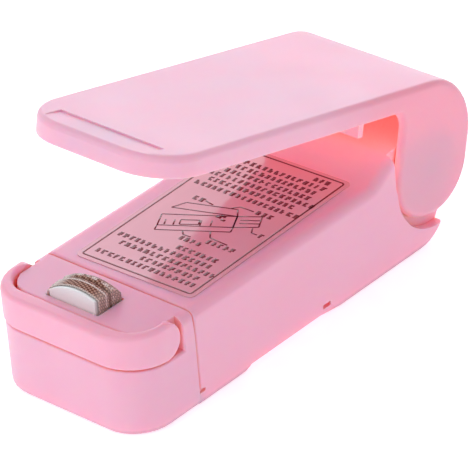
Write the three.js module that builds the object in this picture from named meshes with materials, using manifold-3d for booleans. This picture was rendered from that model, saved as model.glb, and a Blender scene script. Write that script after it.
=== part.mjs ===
// Mini bag sealer: a sprung lever over a base that holds two cells, with a heated head in its nose.
// Millimetres, +Z up. The nose points to -Y, the hinge lies towards +Y, and X runs across.
// Places along the base are counted from the front of the nose; the last group centres the whole.
// Places on the lever are counted from the hinge axis, with the lever lying level.

import * as THREE from 'three';
import { mergeVertices } from 'three/addons/utils/BufferGeometryUtils.js';
import Module from 'manifold-3d';

const wasm = await Module();
wasm.setup();

// Cells
const cellDiameter = 14;
const cellCanLength = 49.2;
const cellButtonDiameter = 5.4;
const cellButtonLength = 1.1;
const cellEdgeRadius = 0.6;
const cellSpacing = 0.3;
const bayClearance = 0.25;

// Contacts at the ends of the cells
const contactThickness = 0.4;
const contactSpringLength = 3.8;
const contactSpringWire = 0.5;
const contactSpringWide = 3.1;
const contactSpringNarrow = 1.7;
const contactSpringCurls = 3.5;
const contactPlateWidth = 8.6;
const contactPlateHeight = 10.6;
const contactTabWidth = 1.8;

// Walls of the base
const sideWall = 2.5;
const roofThickness = 1.5;
const bulkheadThickness = 1.6;
const topEdgeRadius = 2;
const bottomEdgeRadius = 0.8;
const seamGap = 0.25;
const fitGap = 0.3;
const bearingGap = 0.05;
const overrun = 4;

// Battery door and the cut-outs of the rims beside it
const doorThickness = 1.5;
const doorRecess = 1.1;
const gripRidgeHeight = 0.4;
const gripRidgeWidth = 0.8;
const gripRidgeLength = 12;
const rimCutStart = 25.7;
const rimCutFlatStart = 27.9;
const rimCutFlatEnd = 45.9;
const rimCutEnd = 54;
const latchSlotLength = 2;
const latchSlotHeight = 0.8;
const latchSlotRise = 0.8;

// Nose cover
const noseLength = 14.8;
const noseCornerRadius = 7.5;
const noseBottomRadius = 1.1;
const noseWall = 1.5;
const collarLength = 1.4;
const collarWall = 1.2;
const snapNotchLength = 1.2;
const snapNotchHeight = 0.5;
const snapNotchRise = 2.3;

// Lock ring round the top of the nose
const ringProud = 0.25;
const ringFrontThickness = 3.05;
const ringSideThickness = 1.75;
const ringTopAboveBase = 0.85;
const ringFrontHeight = 5.95;
const ringInnerCornerRadius = 5;
const ringPivotFromFront = 8;
const ringPivotBelowTop = 2.6;
const ringEndRadius = 3.45;
const ringEndClearance = 0.7;
const ringGap = 0.25;
const ringLift = 24;
const ringTopEdgeRadius = 0.9;
const ringTrunnionRadius = 1.1;
const ringTrunnionLength = 1.1;

// Heated head
const headCentreX = -1.15;
const headHalfWidth = 5.2;
const headFront = 5.1;
const headSetback = 3.7;
const headCrownHeight = 3.1;
const headArchRadius = 11;
const headFaceThickness = 0.5;
const headBodyDepth = 9.4;
const headFlangeWidth = 1.5;
const headFlangeThickness = 1.1;
const clothThickness = 0.25;
const clothEndDrop = 0.4;
const ribbonThickness = 0.15;
const ribbonGap = 0.05;
const ribbonTuck = 0.3;
const frontRibbonShares = [0.2, 0.42];
const rearRibbonShares = [0.62, 0.82];
const frontRidgeRise = 0.25;
const valleyDrop = 0.2;
const rearRidgeRise = 0.2;
const rearEdgeDrop = 1.1;
const plungerHalfWidth = 0.7;
const headTravel = 1.2;
const windowGap = 0.25;

// Springs, bracket and switch under the head
const headSpringWire = 0.35;
const headSpringRadius = 1.5;
const headSpringCurls = 5.5;
const headSpringEndGap = 0.125;
const headSpringSpread = 3;
const headSpringPocketDepth = 2.6;
const bracketThickness = 1.2;
const bracketRise = 2.5;
const bracketHalfWidth = 12;
const bracketSetback = 2.05;
const bracketPostRadius = 2.3;
const postSpread = 9.5;
const postFromFront = 8;
const screwRadius = 0.9;
const screwHeadRadius = 1.8;
const screwHeadThickness = 0.8;
const screwLength = 3.6;
const screwDriveRadius = 0.8;
const screwDriveDepth = 0.4;
const leafThickness = 0.2;
const leafWidth = 1.4;
const leafSpacing = 1;
const leafBlockWidth = 2.6;
const leafBlockGap = 2;
const leadRadius = 0.45;

// Hinge
const pinRadius = 1.5;
const pinClearance = 0.12;
const pinSocketDepth = 0.8;
const pinBehindBay = 6.45;
const pinBelowTop = 3.8;
const barrelGap = 1.55;
const rearWallBehindPin = 3.6;
const rearCornerRadius = 7.6;
const humpRise = 3.4;
const humpLength = 7.2;
const humpEndBeforePin = 9.4;
const recessWallBeforePin = 10.1;
const recessRadius = 10.9;
const recessBehindPin = 1.2;
const recessBelowPin = 0.9;
const recessShoulderHeight = 1.6;
const pocketHalfWidth = 4.8;
const pocketBeforePin = 3.4;
const pocketBelowPin = 5.2;
const returnSpringWire = 0.8;
const returnSpringRadius = 2.6;
const returnSpringPitch = 1.35;
const returnSpringCurls = 3.75;

// Lever
const openDegrees = 14;
const closingDegrees = 17.5;
const leverSetback = 5.5;
const leverSideStep = 0.2;
const leverCornerRadius = 9.5;
const leverWall = 1.6;
const leverRearCornerRadius = 12;
const cheekRadius = 9.4;
const cheekThickness = 1.4;
const rearWallExtra = 0.95;
const cheekGap = 0.25;
const cheekFilletRadius = 3.5;
const skirtDepth = 3.8;
const leverEdgeRadius = 1.2;
const rearWallBelowPin = 3.5;
const padThickness = 1.4;
const padSeatHeight = 0.95;
const padDepth = 6.3;
const landingDepth = 0.35;
const landingHalfWidth = 11.5;
const landingLength = 5.3;
const stopBarBeforePin = 16.7;
const stopBarHeight = 6.7;
const stopBarThickness = 1.2;
const stopBarHalfWidth = 13;
const ribSpread = 7;
const ribHeight = 1.2;
const ribThickness = 1;

// Printed film on the top
const filmHalfWidth = 12.9;
const filmThickness = 0.15;
const filmCornerRadius = 1.2;
const filmFromSeam = 2.1;
const filmFromHump = 0.6;
const filmOffsetX = 0.6;
const filmTurnDegrees = 1.8;

// Places that follow from the sizes
const bayHalfWidth = cellDiameter + cellSpacing / 2 + bayClearance;
const halfWidth = bayHalfWidth + sideWall;
const doorTop = doorRecess + doorThickness;
const cellAxisZ = doorTop + bayClearance + cellDiameter / 2;
const roofUnderside = cellAxisZ + cellDiameter / 2 + bayClearance;
const baseTop = roofUnderside + roofThickness;
const cellX = (cellDiameter + cellSpacing) / 2;
const shellFront = noseLength + seamGap;
const bayFront = shellFront + bulkheadThickness;
const cellSpace = contactSpringLength + cellCanLength + cellButtonLength;
const bayRear = bayFront + 2 * contactThickness + cellSpace;
const pinY = bayRear + pinBehindBay;
const pinZ = baseTop - pinBelowTop;
const leverRear = cheekRadius + rearWallExtra;
const barrelRadius = leverRear - leverWall - barrelGap;
const rearWallY = pinY + rearWallBehindPin;
const leverHalfWidth = halfWidth - leverSideStep;
const cheekInner = leverHalfWidth - cheekThickness;
const recessFloor = cheekInner - cheekGap;
const ringPivotZ = baseTop - ringPivotBelowTop;
const ringTop = baseTop + ringTopAboveBase;
const ringInnerHalf = halfWidth + ringProud - ringSideThickness;
const ringInnerFront = ringFrontThickness - ringProud;
const headRear = noseLength - headSetback;
const windowFront = headFront - windowGap;
const bracketRear = noseLength - bracketSetback;
const bracketTop = noseWall + bracketRise + bracketThickness;
const headSpringY = (headFront + headRear) / 2;
const leafFront = headRear + windowGap;
const leafRear = leafFront + leafWidth;
const plungerLow = bracketTop + 2 * leafSpacing + leafThickness + headTravel + 2 * bearingGap;
const humpEnd = pinY - humpEndBeforePin;
const plateUnderside = baseTop - noseWall;
const layerStack = ribbonThickness + 2 * ribbonGap;
const headCrown = baseTop + headCrownHeight + Math.max(frontRidgeRise, rearRidgeRise) + clothThickness;

// The pad meets the head's crown when the lever has closed by its whole travel.
const closedSlope = THREE.MathUtils.degToRad(closingDegrees - openDegrees);
const leverReach = pinY - leverSetback;
const padFront = leverReach - leverWall - fitGap;
const padHalfWidth = cheekInner - leverCornerRadius + leverWall;
const padUnder = (headCrown + fitGap - pinZ + padFront * Math.sin(closedSlope)) / Math.cos(closedSlope);
const leverUnder = padUnder + padThickness + fitGap + padSeatHeight;
const leverTop = leverUnder + leverWall;
const rimZ = leverTop - skirtDepth;

const pinkGloss = new THREE.MeshStandardMaterial({ color: 0xf2b3c4, roughness: 0.38, metalness: 0 });
const pinkLight = new THREE.MeshStandardMaterial({ color: 0xf3c6d6, roughness: 0.42, metalness: 0 });
const whiteCeramic = new THREE.MeshStandardMaterial({ color: 0xe6e6ea, roughness: 0.5, metalness: 0 });
const brownCloth = new THREE.MeshStandardMaterial({ color: 0x8c6247, roughness: 0.8, metalness: 0 });
const clearFilm = new THREE.MeshStandardMaterial({ color: 0xe89aa8, roughness: 0.12, metalness: 0 });
const plainSteel = new THREE.MeshStandardMaterial({ color: 0xb9bcc0, roughness: 0.3, metalness: 1 });
const nickelSteel = new THREE.MeshStandardMaterial({ color: 0xc8c6be, roughness: 0.28, metalness: 1 });
const brassSheet = new THREE.MeshStandardMaterial({ color: 0xc9a45c, roughness: 0.32, metalness: 1 });
const blackPlastic = new THREE.MeshStandardMaterial({ color: 0x2a2a2c, roughness: 0.55, metalness: 0 });
const greySilicone = new THREE.MeshStandardMaterial({ color: 0xd9d4d2, roughness: 0.7, metalness: 0 });
const redLead = new THREE.MeshStandardMaterial({ color: 0xb3202a, roughness: 0.5, metalness: 0 });
const cellSleeve = new THREE.MeshStandardMaterial({ color: 0x3b4a5c, roughness: 0.35, metalness: 0.2 });

// A closed geometry as a solid that can be joined and cut
function solidOf(geometry) {
  const bare = geometry.clone();
  bare.deleteAttribute('normal');
  bare.deleteAttribute('uv');
  const welded = mergeVertices(bare);
  const corners = welded.index.array;
  const kept = [];
  for (let i = 0; i < corners.length; i += 3) {
    const [a, b, c] = [corners[i], corners[i + 1], corners[i + 2]];
    if (a !== b && b !== c && c !== a) kept.push(a, b, c);
  }
  const vertProperties = welded.attributes.position.array;
  return new wasm.Manifold(new wasm.Mesh({ numProp: 3, vertProperties, triVerts: new Uint32Array(kept) }));
}

// A named mesh from a solid
function piece(name, solid, material) {
  const { vertProperties, triVerts } = solid.getMesh();
  const geometry = new THREE.BufferGeometry();
  geometry.setAttribute('position', new THREE.BufferAttribute(new Float32Array(vertProperties), 3));
  geometry.setIndex(new THREE.BufferAttribute(new Uint32Array(triVerts), 1));
  geometry.computeVertexNormals();
  const mesh = new THREE.Mesh(geometry, material);
  mesh.name = name;
  return mesh;
}

const joined = (...solids) => solids.reduce((whole, solid) => whole.add(solid));

// Points of an arc in a plane
function arc(centreA, centreB, radius, fromDegrees, toDegrees, steps) {
  const points = [];
  for (let i = 0; i <= steps; i += 1) {
    const angle = THREE.MathUtils.degToRad(fromDegrees + (toDegrees - fromDegrees) * i / steps);
    points.push([centreA + radius * Math.cos(angle), centreB + radius * Math.sin(angle)]);
  }
  return points;
}

// An upright block, given by its lowest and highest corners
function block(low, high) {
  const size = high.map((value, i) => value - low[i]);
  const geometry = new THREE.BoxGeometry(...size);
  geometry.translate(...low.map((value, i) => value + size[i] / 2));
  return solidOf(geometry);
}

// Turns a shape drawn across X, Y or Z so that its depth runs along that direction
function alongAxis(geometry, direction, from, to) {
  const x = new THREE.Vector3(1, 0, 0);
  const y = new THREE.Vector3(0, 1, 0);
  const z = new THREE.Vector3(0, 0, 1);
  const matrix = new THREE.Matrix4();
  if (direction === 'x') matrix.makeBasis(y, z, x).setPosition(from, 0, 0);
  if (direction === 'y') matrix.makeBasis(x, z, y.negate()).setPosition(0, to, 0);
  if (direction === 'z') matrix.makeBasis(x, y, z).setPosition(0, 0, from);
  geometry.applyMatrix4(matrix);
  return solidOf(geometry);
}

// A prism of an outline: (y, z) along X, (x, z) along Y or (x, y) along Z, with its edges rounded if asked
function prism(points, direction, from, to, edgeRadius = 0, edgeSteps = 5) {
  const shape = new THREE.Shape(points.map(([a, b]) => new THREE.Vector2(a, b)));
  if (edgeRadius === 0) {
    const plain = new THREE.ExtrudeGeometry(shape, { depth: to - from, bevelEnabled: false });
    return alongAxis(plain, direction, from, to);
  }
  const rounded = new THREE.ExtrudeGeometry(shape, {
    depth: to - from - 2 * edgeRadius,
    bevelEnabled: true,
    bevelThickness: edgeRadius,
    bevelSize: edgeRadius,
    bevelOffset: -edgeRadius,
    bevelSegments: edgeSteps,
  });
  return alongAxis(rounded, direction, from + edgeRadius, to - edgeRadius);
}

// A rectangle with its front and rear corners rounded, seen from above
function roundedPlan(halfSpan, front, rear, frontRadius, rearRadius, steps) {
  const corner = (x, y, radius, from) => {
    return radius === 0 ? [[x, y]] : arc(x, y, radius, from, from + 90, steps);
  };
  return [
    ...corner(-halfSpan + frontRadius, front + frontRadius, frontRadius, 180),
    ...corner(halfSpan - frontRadius, front + frontRadius, frontRadius, 270),
    ...corner(halfSpan - rearRadius, rear - rearRadius, rearRadius, 0),
    ...corner(-halfSpan + rearRadius, rear - rearRadius, rearRadius, 90),
  ];
}

// A solid through outlines of equal length, each on its own height
function loft(layers) {
  const count = layers[0].points.length;
  const positions = layers.flatMap(({ z, points }) => points.flatMap(([x, y]) => [x, y, z]));
  const faces = [];
  for (let layer = 0; layer + 1 < layers.length; layer += 1) {
    for (let i = 0; i < count; i += 1) {
      const next = (i + 1) % count;
      const [a, b] = [layer * count + i, layer * count + next];
      faces.push(a, b, b + count, a, b + count, a + count);
    }
  }
  const flat = layers[0].points.map(([x, y]) => new THREE.Vector2(x, y));
  const last = (layers.length - 1) * count;
  for (const [a, b, c] of THREE.ShapeUtils.triangulateShape(flat, [])) {
    faces.push(a, c, b, last + a, last + b, last + c);
  }
  const geometry = new THREE.BufferGeometry();
  geometry.setAttribute('position', new THREE.Float32BufferAttribute(positions, 3));
  geometry.setIndex(faces);
  return solidOf(geometry);
}

// A thin sheet between two grids of points that have as many rows and columns
function sheet(upper, lower) {
  const rows = upper.length;
  const columns = upper[0].length;
  const positions = [...upper.flat(2), ...lower.flat(2)];
  const at = (row, column) => row * columns + column;
  const shift = rows * columns;
  const faces = [];
  const quad = (a, b, c, d) => faces.push(a, b, c, a, c, d);
  for (let r = 0; r + 1 < rows; r += 1) {
    for (let c = 0; c + 1 < columns; c += 1) {
      quad(at(r, c), at(r + 1, c), at(r + 1, c + 1), at(r, c + 1));
      quad(shift + at(r, c), shift + at(r, c + 1), shift + at(r + 1, c + 1), shift + at(r + 1, c));
    }
  }
  for (let r = 0; r + 1 < rows; r += 1) {
    quad(shift + at(r, 0), shift + at(r + 1, 0), at(r + 1, 0), at(r, 0));
    const c = columns - 1;
    quad(at(r, c), at(r + 1, c), shift + at(r + 1, c), shift + at(r, c));
  }
  for (let c = 0; c + 1 < columns; c += 1) {
    quad(at(0, c), at(0, c + 1), shift + at(0, c + 1), shift + at(0, c));
    const r = rows - 1;
    quad(shift + at(r, c), shift + at(r, c + 1), at(r, c + 1), at(r, c));
  }
  const geometry = new THREE.BufferGeometry();
  geometry.setAttribute('position', new THREE.Float32BufferAttribute(positions, 3));
  geometry.setIndex(faces);
  return solidOf(geometry);
}

// A round body turned about the axis through its centre, from (radius, height) pairs
function turned(profile, steps, direction, at) {
  const geometry = new THREE.LatheGeometry(profile.map(([r, h]) => new THREE.Vector2(r, h)), steps);
  if (direction === 'x') geometry.rotateZ(-Math.PI / 2);
  if (direction === 'z') geometry.rotateX(Math.PI / 2);
  geometry.translate(...at);
  return solidOf(geometry);
}

// A plain rod along one direction, between two places on it
function rod(radius, direction, from, to, at, steps = 24) {
  return turned([[0, from], [radius, from], [radius, to], [0, to]], steps, direction, at);
}

// A round wire through a line of points
function wire(points, radius, sides, steps) {
  const corners = Array.from({ length: sides }, (_, i) => {
    const angle = 2 * Math.PI * i / sides;
    return new THREE.Vector2(radius * Math.cos(angle), radius * Math.sin(angle));
  });
  const extrudePath = new THREE.CatmullRomCurve3(points);
  return solidOf(new THREE.ExtrudeGeometry(new THREE.Shape(corners), { steps, extrudePath }));
}

// Points of a coil round +Z, eight to a curl, whose radius may change on the way
function coilPoints(firstRadius, lastRadius, length, curls) {
  const steps = Math.round(curls * 8);
  return Array.from({ length: steps + 1 }, (_, i) => {
    const radius = firstRadius + (lastRadius - firstRadius) * i / steps;
    const angle = Math.PI / 4 * i;
    return new THREE.Vector3(radius * Math.cos(angle), radius * Math.sin(angle), length * i / steps);
  });
}

// The least gap between one curl and the next, measured on the coil's points
function leastGap(points, wireDiameter) {
  let least = Infinity;
  for (let i = 0; i < points.length; i += 1) {
    for (let j = i + 5; j < points.length; j += 1) {
      least = Math.min(least, points[i].distanceTo(points[j]) - wireDiameter);
    }
  }
  return least;
}

function reportGap(name, points, wireDiameter) {
  console.log(`${name}: least gap between curls ${leastGap(points, wireDiameter).toFixed(2)} mm`);
}

// Across the base: a section with rounded upper and lower edges
function crossSection(halfSpan, low, high, upperRadius, lowerRadius) {
  return [
    ...arc(halfSpan - lowerRadius, low + lowerRadius, lowerRadius, 270, 360, 4),
    ...arc(halfSpan - upperRadius, high - upperRadius, upperRadius, 0, 90, 5),
    ...arc(-halfSpan + upperRadius, high - upperRadius, upperRadius, 90, 180, 5),
    ...arc(-halfSpan + lowerRadius, low + lowerRadius, lowerRadius, 180, 270, 4),
  ];
}

// The rise of the top towards the hinge, as a smooth ramp
function humpPoints() {
  const steps = 8;
  return Array.from({ length: steps + 1 }, (_, i) => {
    const share = 1 - i / steps;
    return [humpEnd - humpLength * (1 - share), baseTop + humpRise * (1 - Math.cos(Math.PI * share)) / 2];
  });
}

function baseShell() {
  // Seen from the side: level top, ramp and hinge barrel; then the bottom with its round rear corner
  const barrelMeet = THREE.MathUtils.radToDeg(Math.asin(rearWallBehindPin / barrelRadius));
  const upper = prism([
    [shellFront - overrun, -overrun],
    [rearWallY, -overrun],
    ...arc(pinY, pinZ, barrelRadius, -90 + barrelMeet, 90, 16),
    ...humpPoints(),
    [shellFront - overrun, baseTop],
  ], 'x', -halfWidth, halfWidth, topEdgeRadius);
  const cornerY = rearWallY - rearCornerRadius;
  const farBack = pinY + barrelRadius + overrun;
  const lower = prism([
    [shellFront - overrun, 0],
    ...arc(cornerY, rearCornerRadius, rearCornerRadius, 270, 345, 8),
    [farBack, rearCornerRadius + overrun],
    [farBack, baseTop + barrelRadius + overrun],
    [shellFront - overrun, baseTop + barrelRadius + overrun],
  ], 'x', -halfWidth, halfWidth, bottomEdgeRadius, 3);
  const beside = halfWidth + overrun;
  const infront = block([-beside, -overrun, snapNotchRise], [beside, shellFront, baseTop + overrun]);
  const below = block([-beside, -overrun, -overrun], [beside, noseLength, baseTop + overrun]);
  let shell = upper.intersect(lower).subtract(infront).subtract(below);

  // Collar that the nose cover slides over
  const collarHalf = halfWidth - noseWall - fitGap;
  const collarLow = noseWall + fitGap;
  const collarHigh = plateUnderside - fitGap;
  const collarEdge = topEdgeRadius - noseWall;
  const collarSection = (inset) => {
    return crossSection(collarHalf - inset, collarLow + inset, collarHigh - inset, collarEdge, collarEdge);
  };
  const collarOuter = prism(collarSection(0), 'y', noseLength - collarLength, shellFront);
  const collarInner = prism(collarSection(collarWall), 'y', noseLength - collarLength - overrun, shellFront);
  shell = shell.add(collarOuter.subtract(collarInner));

  // Battery bay, open below
  shell = shell.subtract(block([-bayHalfWidth, bayFront, -overrun], [bayHalfWidth, bayRear, roofUnderside]));

  // Slots in the bulkhead for the leads
  for (const side of [-1, 1]) {
    const x = side * (cellX + contactPlateWidth / 2 - contactTabWidth / 2);
    const slotTop = cellAxisZ + contactPlateHeight / 2;
    shell = shell.subtract(block(
      [x - contactTabWidth / 2, noseLength - overrun, slotTop - contactTabWidth],
      [x + contactTabWidth / 2, bayFront, slotTop]));
  }

  // Recesses for the lever's cheeks
  const recessY = pinY + recessBehindPin;
  const recessZ = pinZ - recessBelowPin;
  const above = baseTop + barrelRadius + overrun;
  const recess = [
    [pinY - recessWallBeforePin, above],
    [pinY - recessWallBeforePin, recessZ + recessShoulderHeight],
    ...arc(recessY, recessZ, recessRadius, 180, 360, 24),
    [recessY + recessRadius, above],
  ];
  shell = shell.subtract(prism(recess, 'x', recessFloor, halfWidth + overrun));
  shell = shell.subtract(prism(recess, 'x', -halfWidth - overrun, -recessFloor));

  // Pin bore, and the pocket that holds the return spring
  shell = shell.subtract(rod(pinRadius + pinClearance, 'x', -halfWidth, halfWidth, [0, pinY, pinZ]));
  shell = shell.subtract(block(
    [-pocketHalfWidth, pinY - pocketBeforePin, pinZ - pocketBelowPin],
    [pocketHalfWidth, pinY + barrelRadius + overrun, above]));

  // Finger cut-outs in both rims, latch slots above them and the snap notches at the seam
  const rimCut = [
    [rimCutStart, 0], [rimCutFlatStart, doorRecess], [rimCutFlatEnd, doorRecess], [rimCutEnd, 0],
    [rimCutEnd, -overrun], [rimCutStart, -overrun],
  ];
  shell = shell.subtract(prism(rimCut, 'x', -halfWidth - overrun, halfWidth + overrun));
  for (const side of [-1, 1]) {
    const across = [side * bayHalfWidth, side * (halfWidth + overrun)].sort((a, b) => a - b);
    const slotStart = rimCutFlatEnd + latchSlotLength / 2;
    shell = shell.subtract(block(
      [across[0], slotStart, doorRecess + latchSlotRise],
      [across[1], slotStart + latchSlotLength, doorRecess + latchSlotRise + latchSlotHeight]));
    const notch = [side * (halfWidth - snapNotchHeight), side * (halfWidth + overrun)].sort((a, b) => a - b);
    shell = shell.subtract(block(
      [notch[0], noseLength - overrun, snapNotchRise],
      [notch[1], shellFront + snapNotchLength, snapNotchRise + snapNotchHeight]));
  }
  return shell;
}

// The upper nose inside the lock ring leans back above the pivot, so that the lifted ring clears it.
function nosePlug() {
  const half = ringInnerHalf - ringGap;
  const front = ringInnerFront + ringGap;
  const radius = ringInnerCornerRadius - ringGap;
  const rear = ringPivotFromFront + ringEndRadius + ringEndClearance + overrun;
  const plan = roundedPlan(half, front, rear, radius, 0, 8);
  const lift = THREE.MathUtils.degToRad(ringLift);
  const leaned = (height) => plan.map(([x, y]) => {
    const reach = ringPivotFromFront - y;
    const clear = (reach - height * Math.sin(lift)) / Math.cos(lift);
    return [x, Math.abs(x) < half - ringGap / 2 ? ringPivotFromFront - Math.min(reach, clear) : y];
  });
  const levelHeight = ringPivotBelowTop / 3;
  return loft([
    { z: 0, points: plan },
    { z: ringPivotZ + levelHeight / 2, points: plan },
    { z: ringPivotZ + levelHeight, points: leaned(levelHeight) },
    { z: ringPivotZ + 2 * levelHeight, points: leaned(2 * levelHeight) },
    { z: baseTop + overrun, points: leaned(ringPivotBelowTop + overrun * Math.sin(lift) / 2) },
  ]);
}

function noseCover() {
  const section = crossSection(halfWidth, 0, baseTop, topEdgeRadius, bottomEdgeRadius);
  const plan = roundedPlan(halfWidth, 0, noseLength + overrun, noseCornerRadius, 0, 8);
  const across = prism(section, 'y', -overrun, noseLength);
  let nose = prism(plan, 'z', 0, baseTop + overrun, noseBottomRadius, 4).intersect(across);

  // Rebate for the ring: its floor falls a little towards the round arm ends
  const rebateRear = ringPivotFromFront + ringEndRadius + ringEndClearance;
  const rebateFloorRear = ringPivotZ - ringEndRadius - ringGap;
  const rebateFloorFront = ringTop - ringFrontHeight - ringGap;
  const rebate = prism([
    [-overrun, rebateFloorFront], [ringPivotFromFront, rebateFloorRear], [rebateRear, rebateFloorRear],
    [rebateRear, baseTop + overrun], [-overrun, baseTop + overrun],
  ], 'x', -halfWidth - overrun, halfWidth + overrun);
  nose = nose.subtract(rebate.subtract(nosePlug()));

  // Hollow: lower room, upper room behind the ring's rebate, and the rear mouth round the collar
  const innerCorner = noseCornerRadius - noseWall;
  const lowerPlan = roundedPlan(halfWidth - noseWall, noseWall, noseLength + overrun, innerCorner, 0, 6);
  const upperHalf = ringInnerHalf - ringGap - noseWall;
  nose = nose.subtract(prism(lowerPlan, 'z', noseWall, rebateFloorRear - noseWall));
  nose = nose.subtract(block(
    [-upperHalf, windowFront, rebateFloorRear - 2 * noseWall],
    [upperHalf, noseLength + overrun, plateUnderside]));
  const mouthRadius = topEdgeRadius - noseWall;
  const mouth = crossSection(halfWidth - noseWall, noseWall, plateUnderside, mouthRadius, mouthRadius);
  nose = nose.subtract(prism(mouth, 'y', noseLength - collarLength - ringGap, noseLength + overrun));

  // Window for the head, sockets for the ring and holes for the two screws
  const windowHalf = headHalfWidth + layerStack + ribbonGap + clothThickness + windowGap;
  nose = nose.subtract(block(
    [headCentreX - windowHalf, windowFront, plateUnderside - noseWall],
    [headCentreX + windowHalf, headRear + windowGap, baseTop + overrun]));
  for (const side of [-1, 1]) {
    const pivot = [side * upperHalf, ringPivotFromFront, ringPivotZ];
    const socket = rod(ringTrunnionRadius + ringGap, 'x', -overrun, overrun, pivot);
    const post = [side * postSpread, postFromFront, 0];
    const hole = rod(screwRadius + ringGap, 'z', -overrun, noseWall + overrun, post);
    const counterbore = rod(screwHeadRadius + ringGap, 'z', -overrun, screwHeadThickness, post);
    nose = nose.subtract(socket).subtract(hole).subtract(counterbore);
  }
  return nose;
}

function lockRing() {
  const outerRadius = noseCornerRadius + ringProud;
  const plan = roundedPlan(ringInnerHalf + ringSideThickness, -ringProud, noseLength, outerRadius, 0, 8);
  const beyond = noseLength + overrun;
  const innerPlan = roundedPlan(ringInnerHalf, ringInnerFront, beyond, ringInnerCornerRadius, 0, 8);
  const bottom = ringTop - ringFrontHeight;
  const low = Math.min(bottom, ringPivotZ - ringEndRadius) - overrun;
  const outer = prism(plan, 'z', low, ringTop, ringTopEdgeRadius, 4);
  const band = outer.subtract(prism(innerPlan, 'z', low - overrun, ringTop + overrun));
  const side = prism([
    [-overrun, bottom],
    ...arc(ringPivotFromFront, ringPivotZ, ringEndRadius, 265, 450, 20),
    [ringPivotFromFront - ringEndRadius, ringTop],
    [-overrun, ringTop],
  ], 'x', -halfWidth - overrun, halfWidth + overrun);
  const ring = band.intersect(side);
  const pivot = [0, ringPivotFromFront, ringPivotZ];
  const trunnion = (from, to) => rod(ringTrunnionRadius, 'x', from, to, pivot, 16);
  return joined(
    ring,
    trunnion(-ringInnerHalf - ringSideThickness / 2, -ringInnerHalf + ringTrunnionLength),
    trunnion(ringInnerHalf - ringTrunnionLength, ringInnerHalf + ringSideThickness / 2));
}

// Arch of the head across X, as the height of its front edge above the nose
function archHeight(x) {
  return headCrownHeight - headArchRadius + Math.sqrt(headArchRadius ** 2 - (headCentreX + x) ** 2);
}

// The cloth's underside from front to rear: two ridges with a valley between, as shares of the depth
const ridgeDepthShares = [0, 0.16, 0.33, 0.45, 0.53, 0.6, 0.71, 0.88, 1];
const ridgeLevels = [
  0, frontRidgeRise, frontRidgeRise, frontRidgeRise, -valleyDrop, rearRidgeRise, rearRidgeRise, -rearEdgeDrop,
  -rearEdgeDrop,
];
const ridgeLevelShares = [1, 0.6, 1, 0.7, 1, 0.6, 1, 0.4, 1];
const ridgeRises = ridgeLevels.map((level, i) => level * ridgeLevelShares[i]);

function ridgeRise(share) {
  const i = Math.max(1, ridgeDepthShares.findIndex((value) => value >= share));
  const [low, high] = [ridgeDepthShares[i - 1], ridgeDepthShares[i]];
  const part = (share - low) / (high - low);
  return ridgeRises[i - 1] + (ridgeRises[i] - ridgeRises[i - 1]) * part;
}

const clothFront = headFront + headFaceThickness + ribbonGap;
const clothDepth = headRear - clothFront;
const archStations = Array.from({ length: 11 }, (_, i) => headHalfWidth * (i / 5 - 1));

function heaterHolder() {
  // Sections from the left end to the right one, each a row of (depth, height) pairs
  const bottom = plateUnderside - headBodyDepth / 2;
  const crest = ridgeDepthShares.map((share) => [clothFront + clothDepth * share, ridgeRise(share)]);
  const layers = archStations.map((x) => {
    const edge = baseTop + archHeight(x);
    const points = [
      [headRear, bottom],
      ...crest.map(([y, rise]) => [y, edge + rise - layerStack]).reverse(),
      [headFront + headFaceThickness, edge],
      [headFront, edge],
      [headFront, bottom],
    ];
    return { x: headCentreX + x, points };
  });
  const count = layers[0].points.length;
  const positions = layers.flatMap(({ x, points }) => points.flatMap(([y, z]) => [x, y, z]));
  const faces = [];
  for (let layer = 0; layer + 1 < layers.length; layer += 1) {
    for (let i = 0; i < count; i += 1) {
      const [a, b] = [layer * count + i, layer * count + (i + 1) % count];
      faces.push(a, b, b + count, a, b + count, a + count);
    }
  }
  const flat = layers[0].points.map(([y, z]) => new THREE.Vector2(y, z));
  const last = (layers.length - 1) * count;
  for (const [a, b, c] of THREE.ShapeUtils.triangulateShape(flat, [])) {
    faces.push(a, c, b, last + a, last + b, last + c);
  }
  const geometry = new THREE.BufferGeometry();
  geometry.setAttribute('position', new THREE.Float32BufferAttribute(positions, 3));
  geometry.setIndex(faces);
  let holder = solidOf(geometry);

  // Flanges at both ends that stop the head under the nose's plate
  const flangeTop = plateUnderside - fitGap;
  const flangeHalf = headHalfWidth + headFlangeWidth + windowGap;
  holder = holder.add(block(
    [headCentreX - flangeHalf, headFront + headFaceThickness, flangeTop - headFlangeThickness],
    [headCentreX + flangeHalf, headRear, flangeTop]));

  // Spring pockets, and the plunger behind the head that works the switch
  for (const side of [-1, 1]) {
    const at = [headCentreX + side * headSpringSpread, headSpringY, bottom];
    const pocketRadius = headSpringRadius + headSpringWire / 2 + headSpringEndGap;
    holder = holder.subtract(rod(pocketRadius, 'z', -overrun, headSpringPocketDepth, at, 20));
  }
  return holder.add(block(
    [headCentreX - plungerHalfWidth, headRear - headFaceThickness, plungerLow],
    [headCentreX + plungerHalfWidth, leafRear - leafThickness, bottom + headFlangeThickness]));
}

// Rows across the arch, with both ends turned down over the head's ends
function archPath(offset, drop) {
  const reach = headHalfWidth + ribbonGap + layerStack + offset;
  const rows = archStations.map((x) => {
    return { x: x + offset * (headCentreX + x) / headArchRadius, z: baseTop + archHeight(x) + offset };
  });
  const [first, last] = [rows[0], rows[rows.length - 1]];
  first.x = -headHalfWidth;
  last.x = headHalfWidth;
  const turnDown = reach - headHalfWidth;
  const left = [{ x: -reach, z: baseTop - drop }, { x: -reach, z: first.z - turnDown }];
  const right = [{ x: reach, z: last.z - turnDown }, { x: reach, z: baseTop - drop }];
  return [...left, ...rows, ...right];
}

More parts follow.
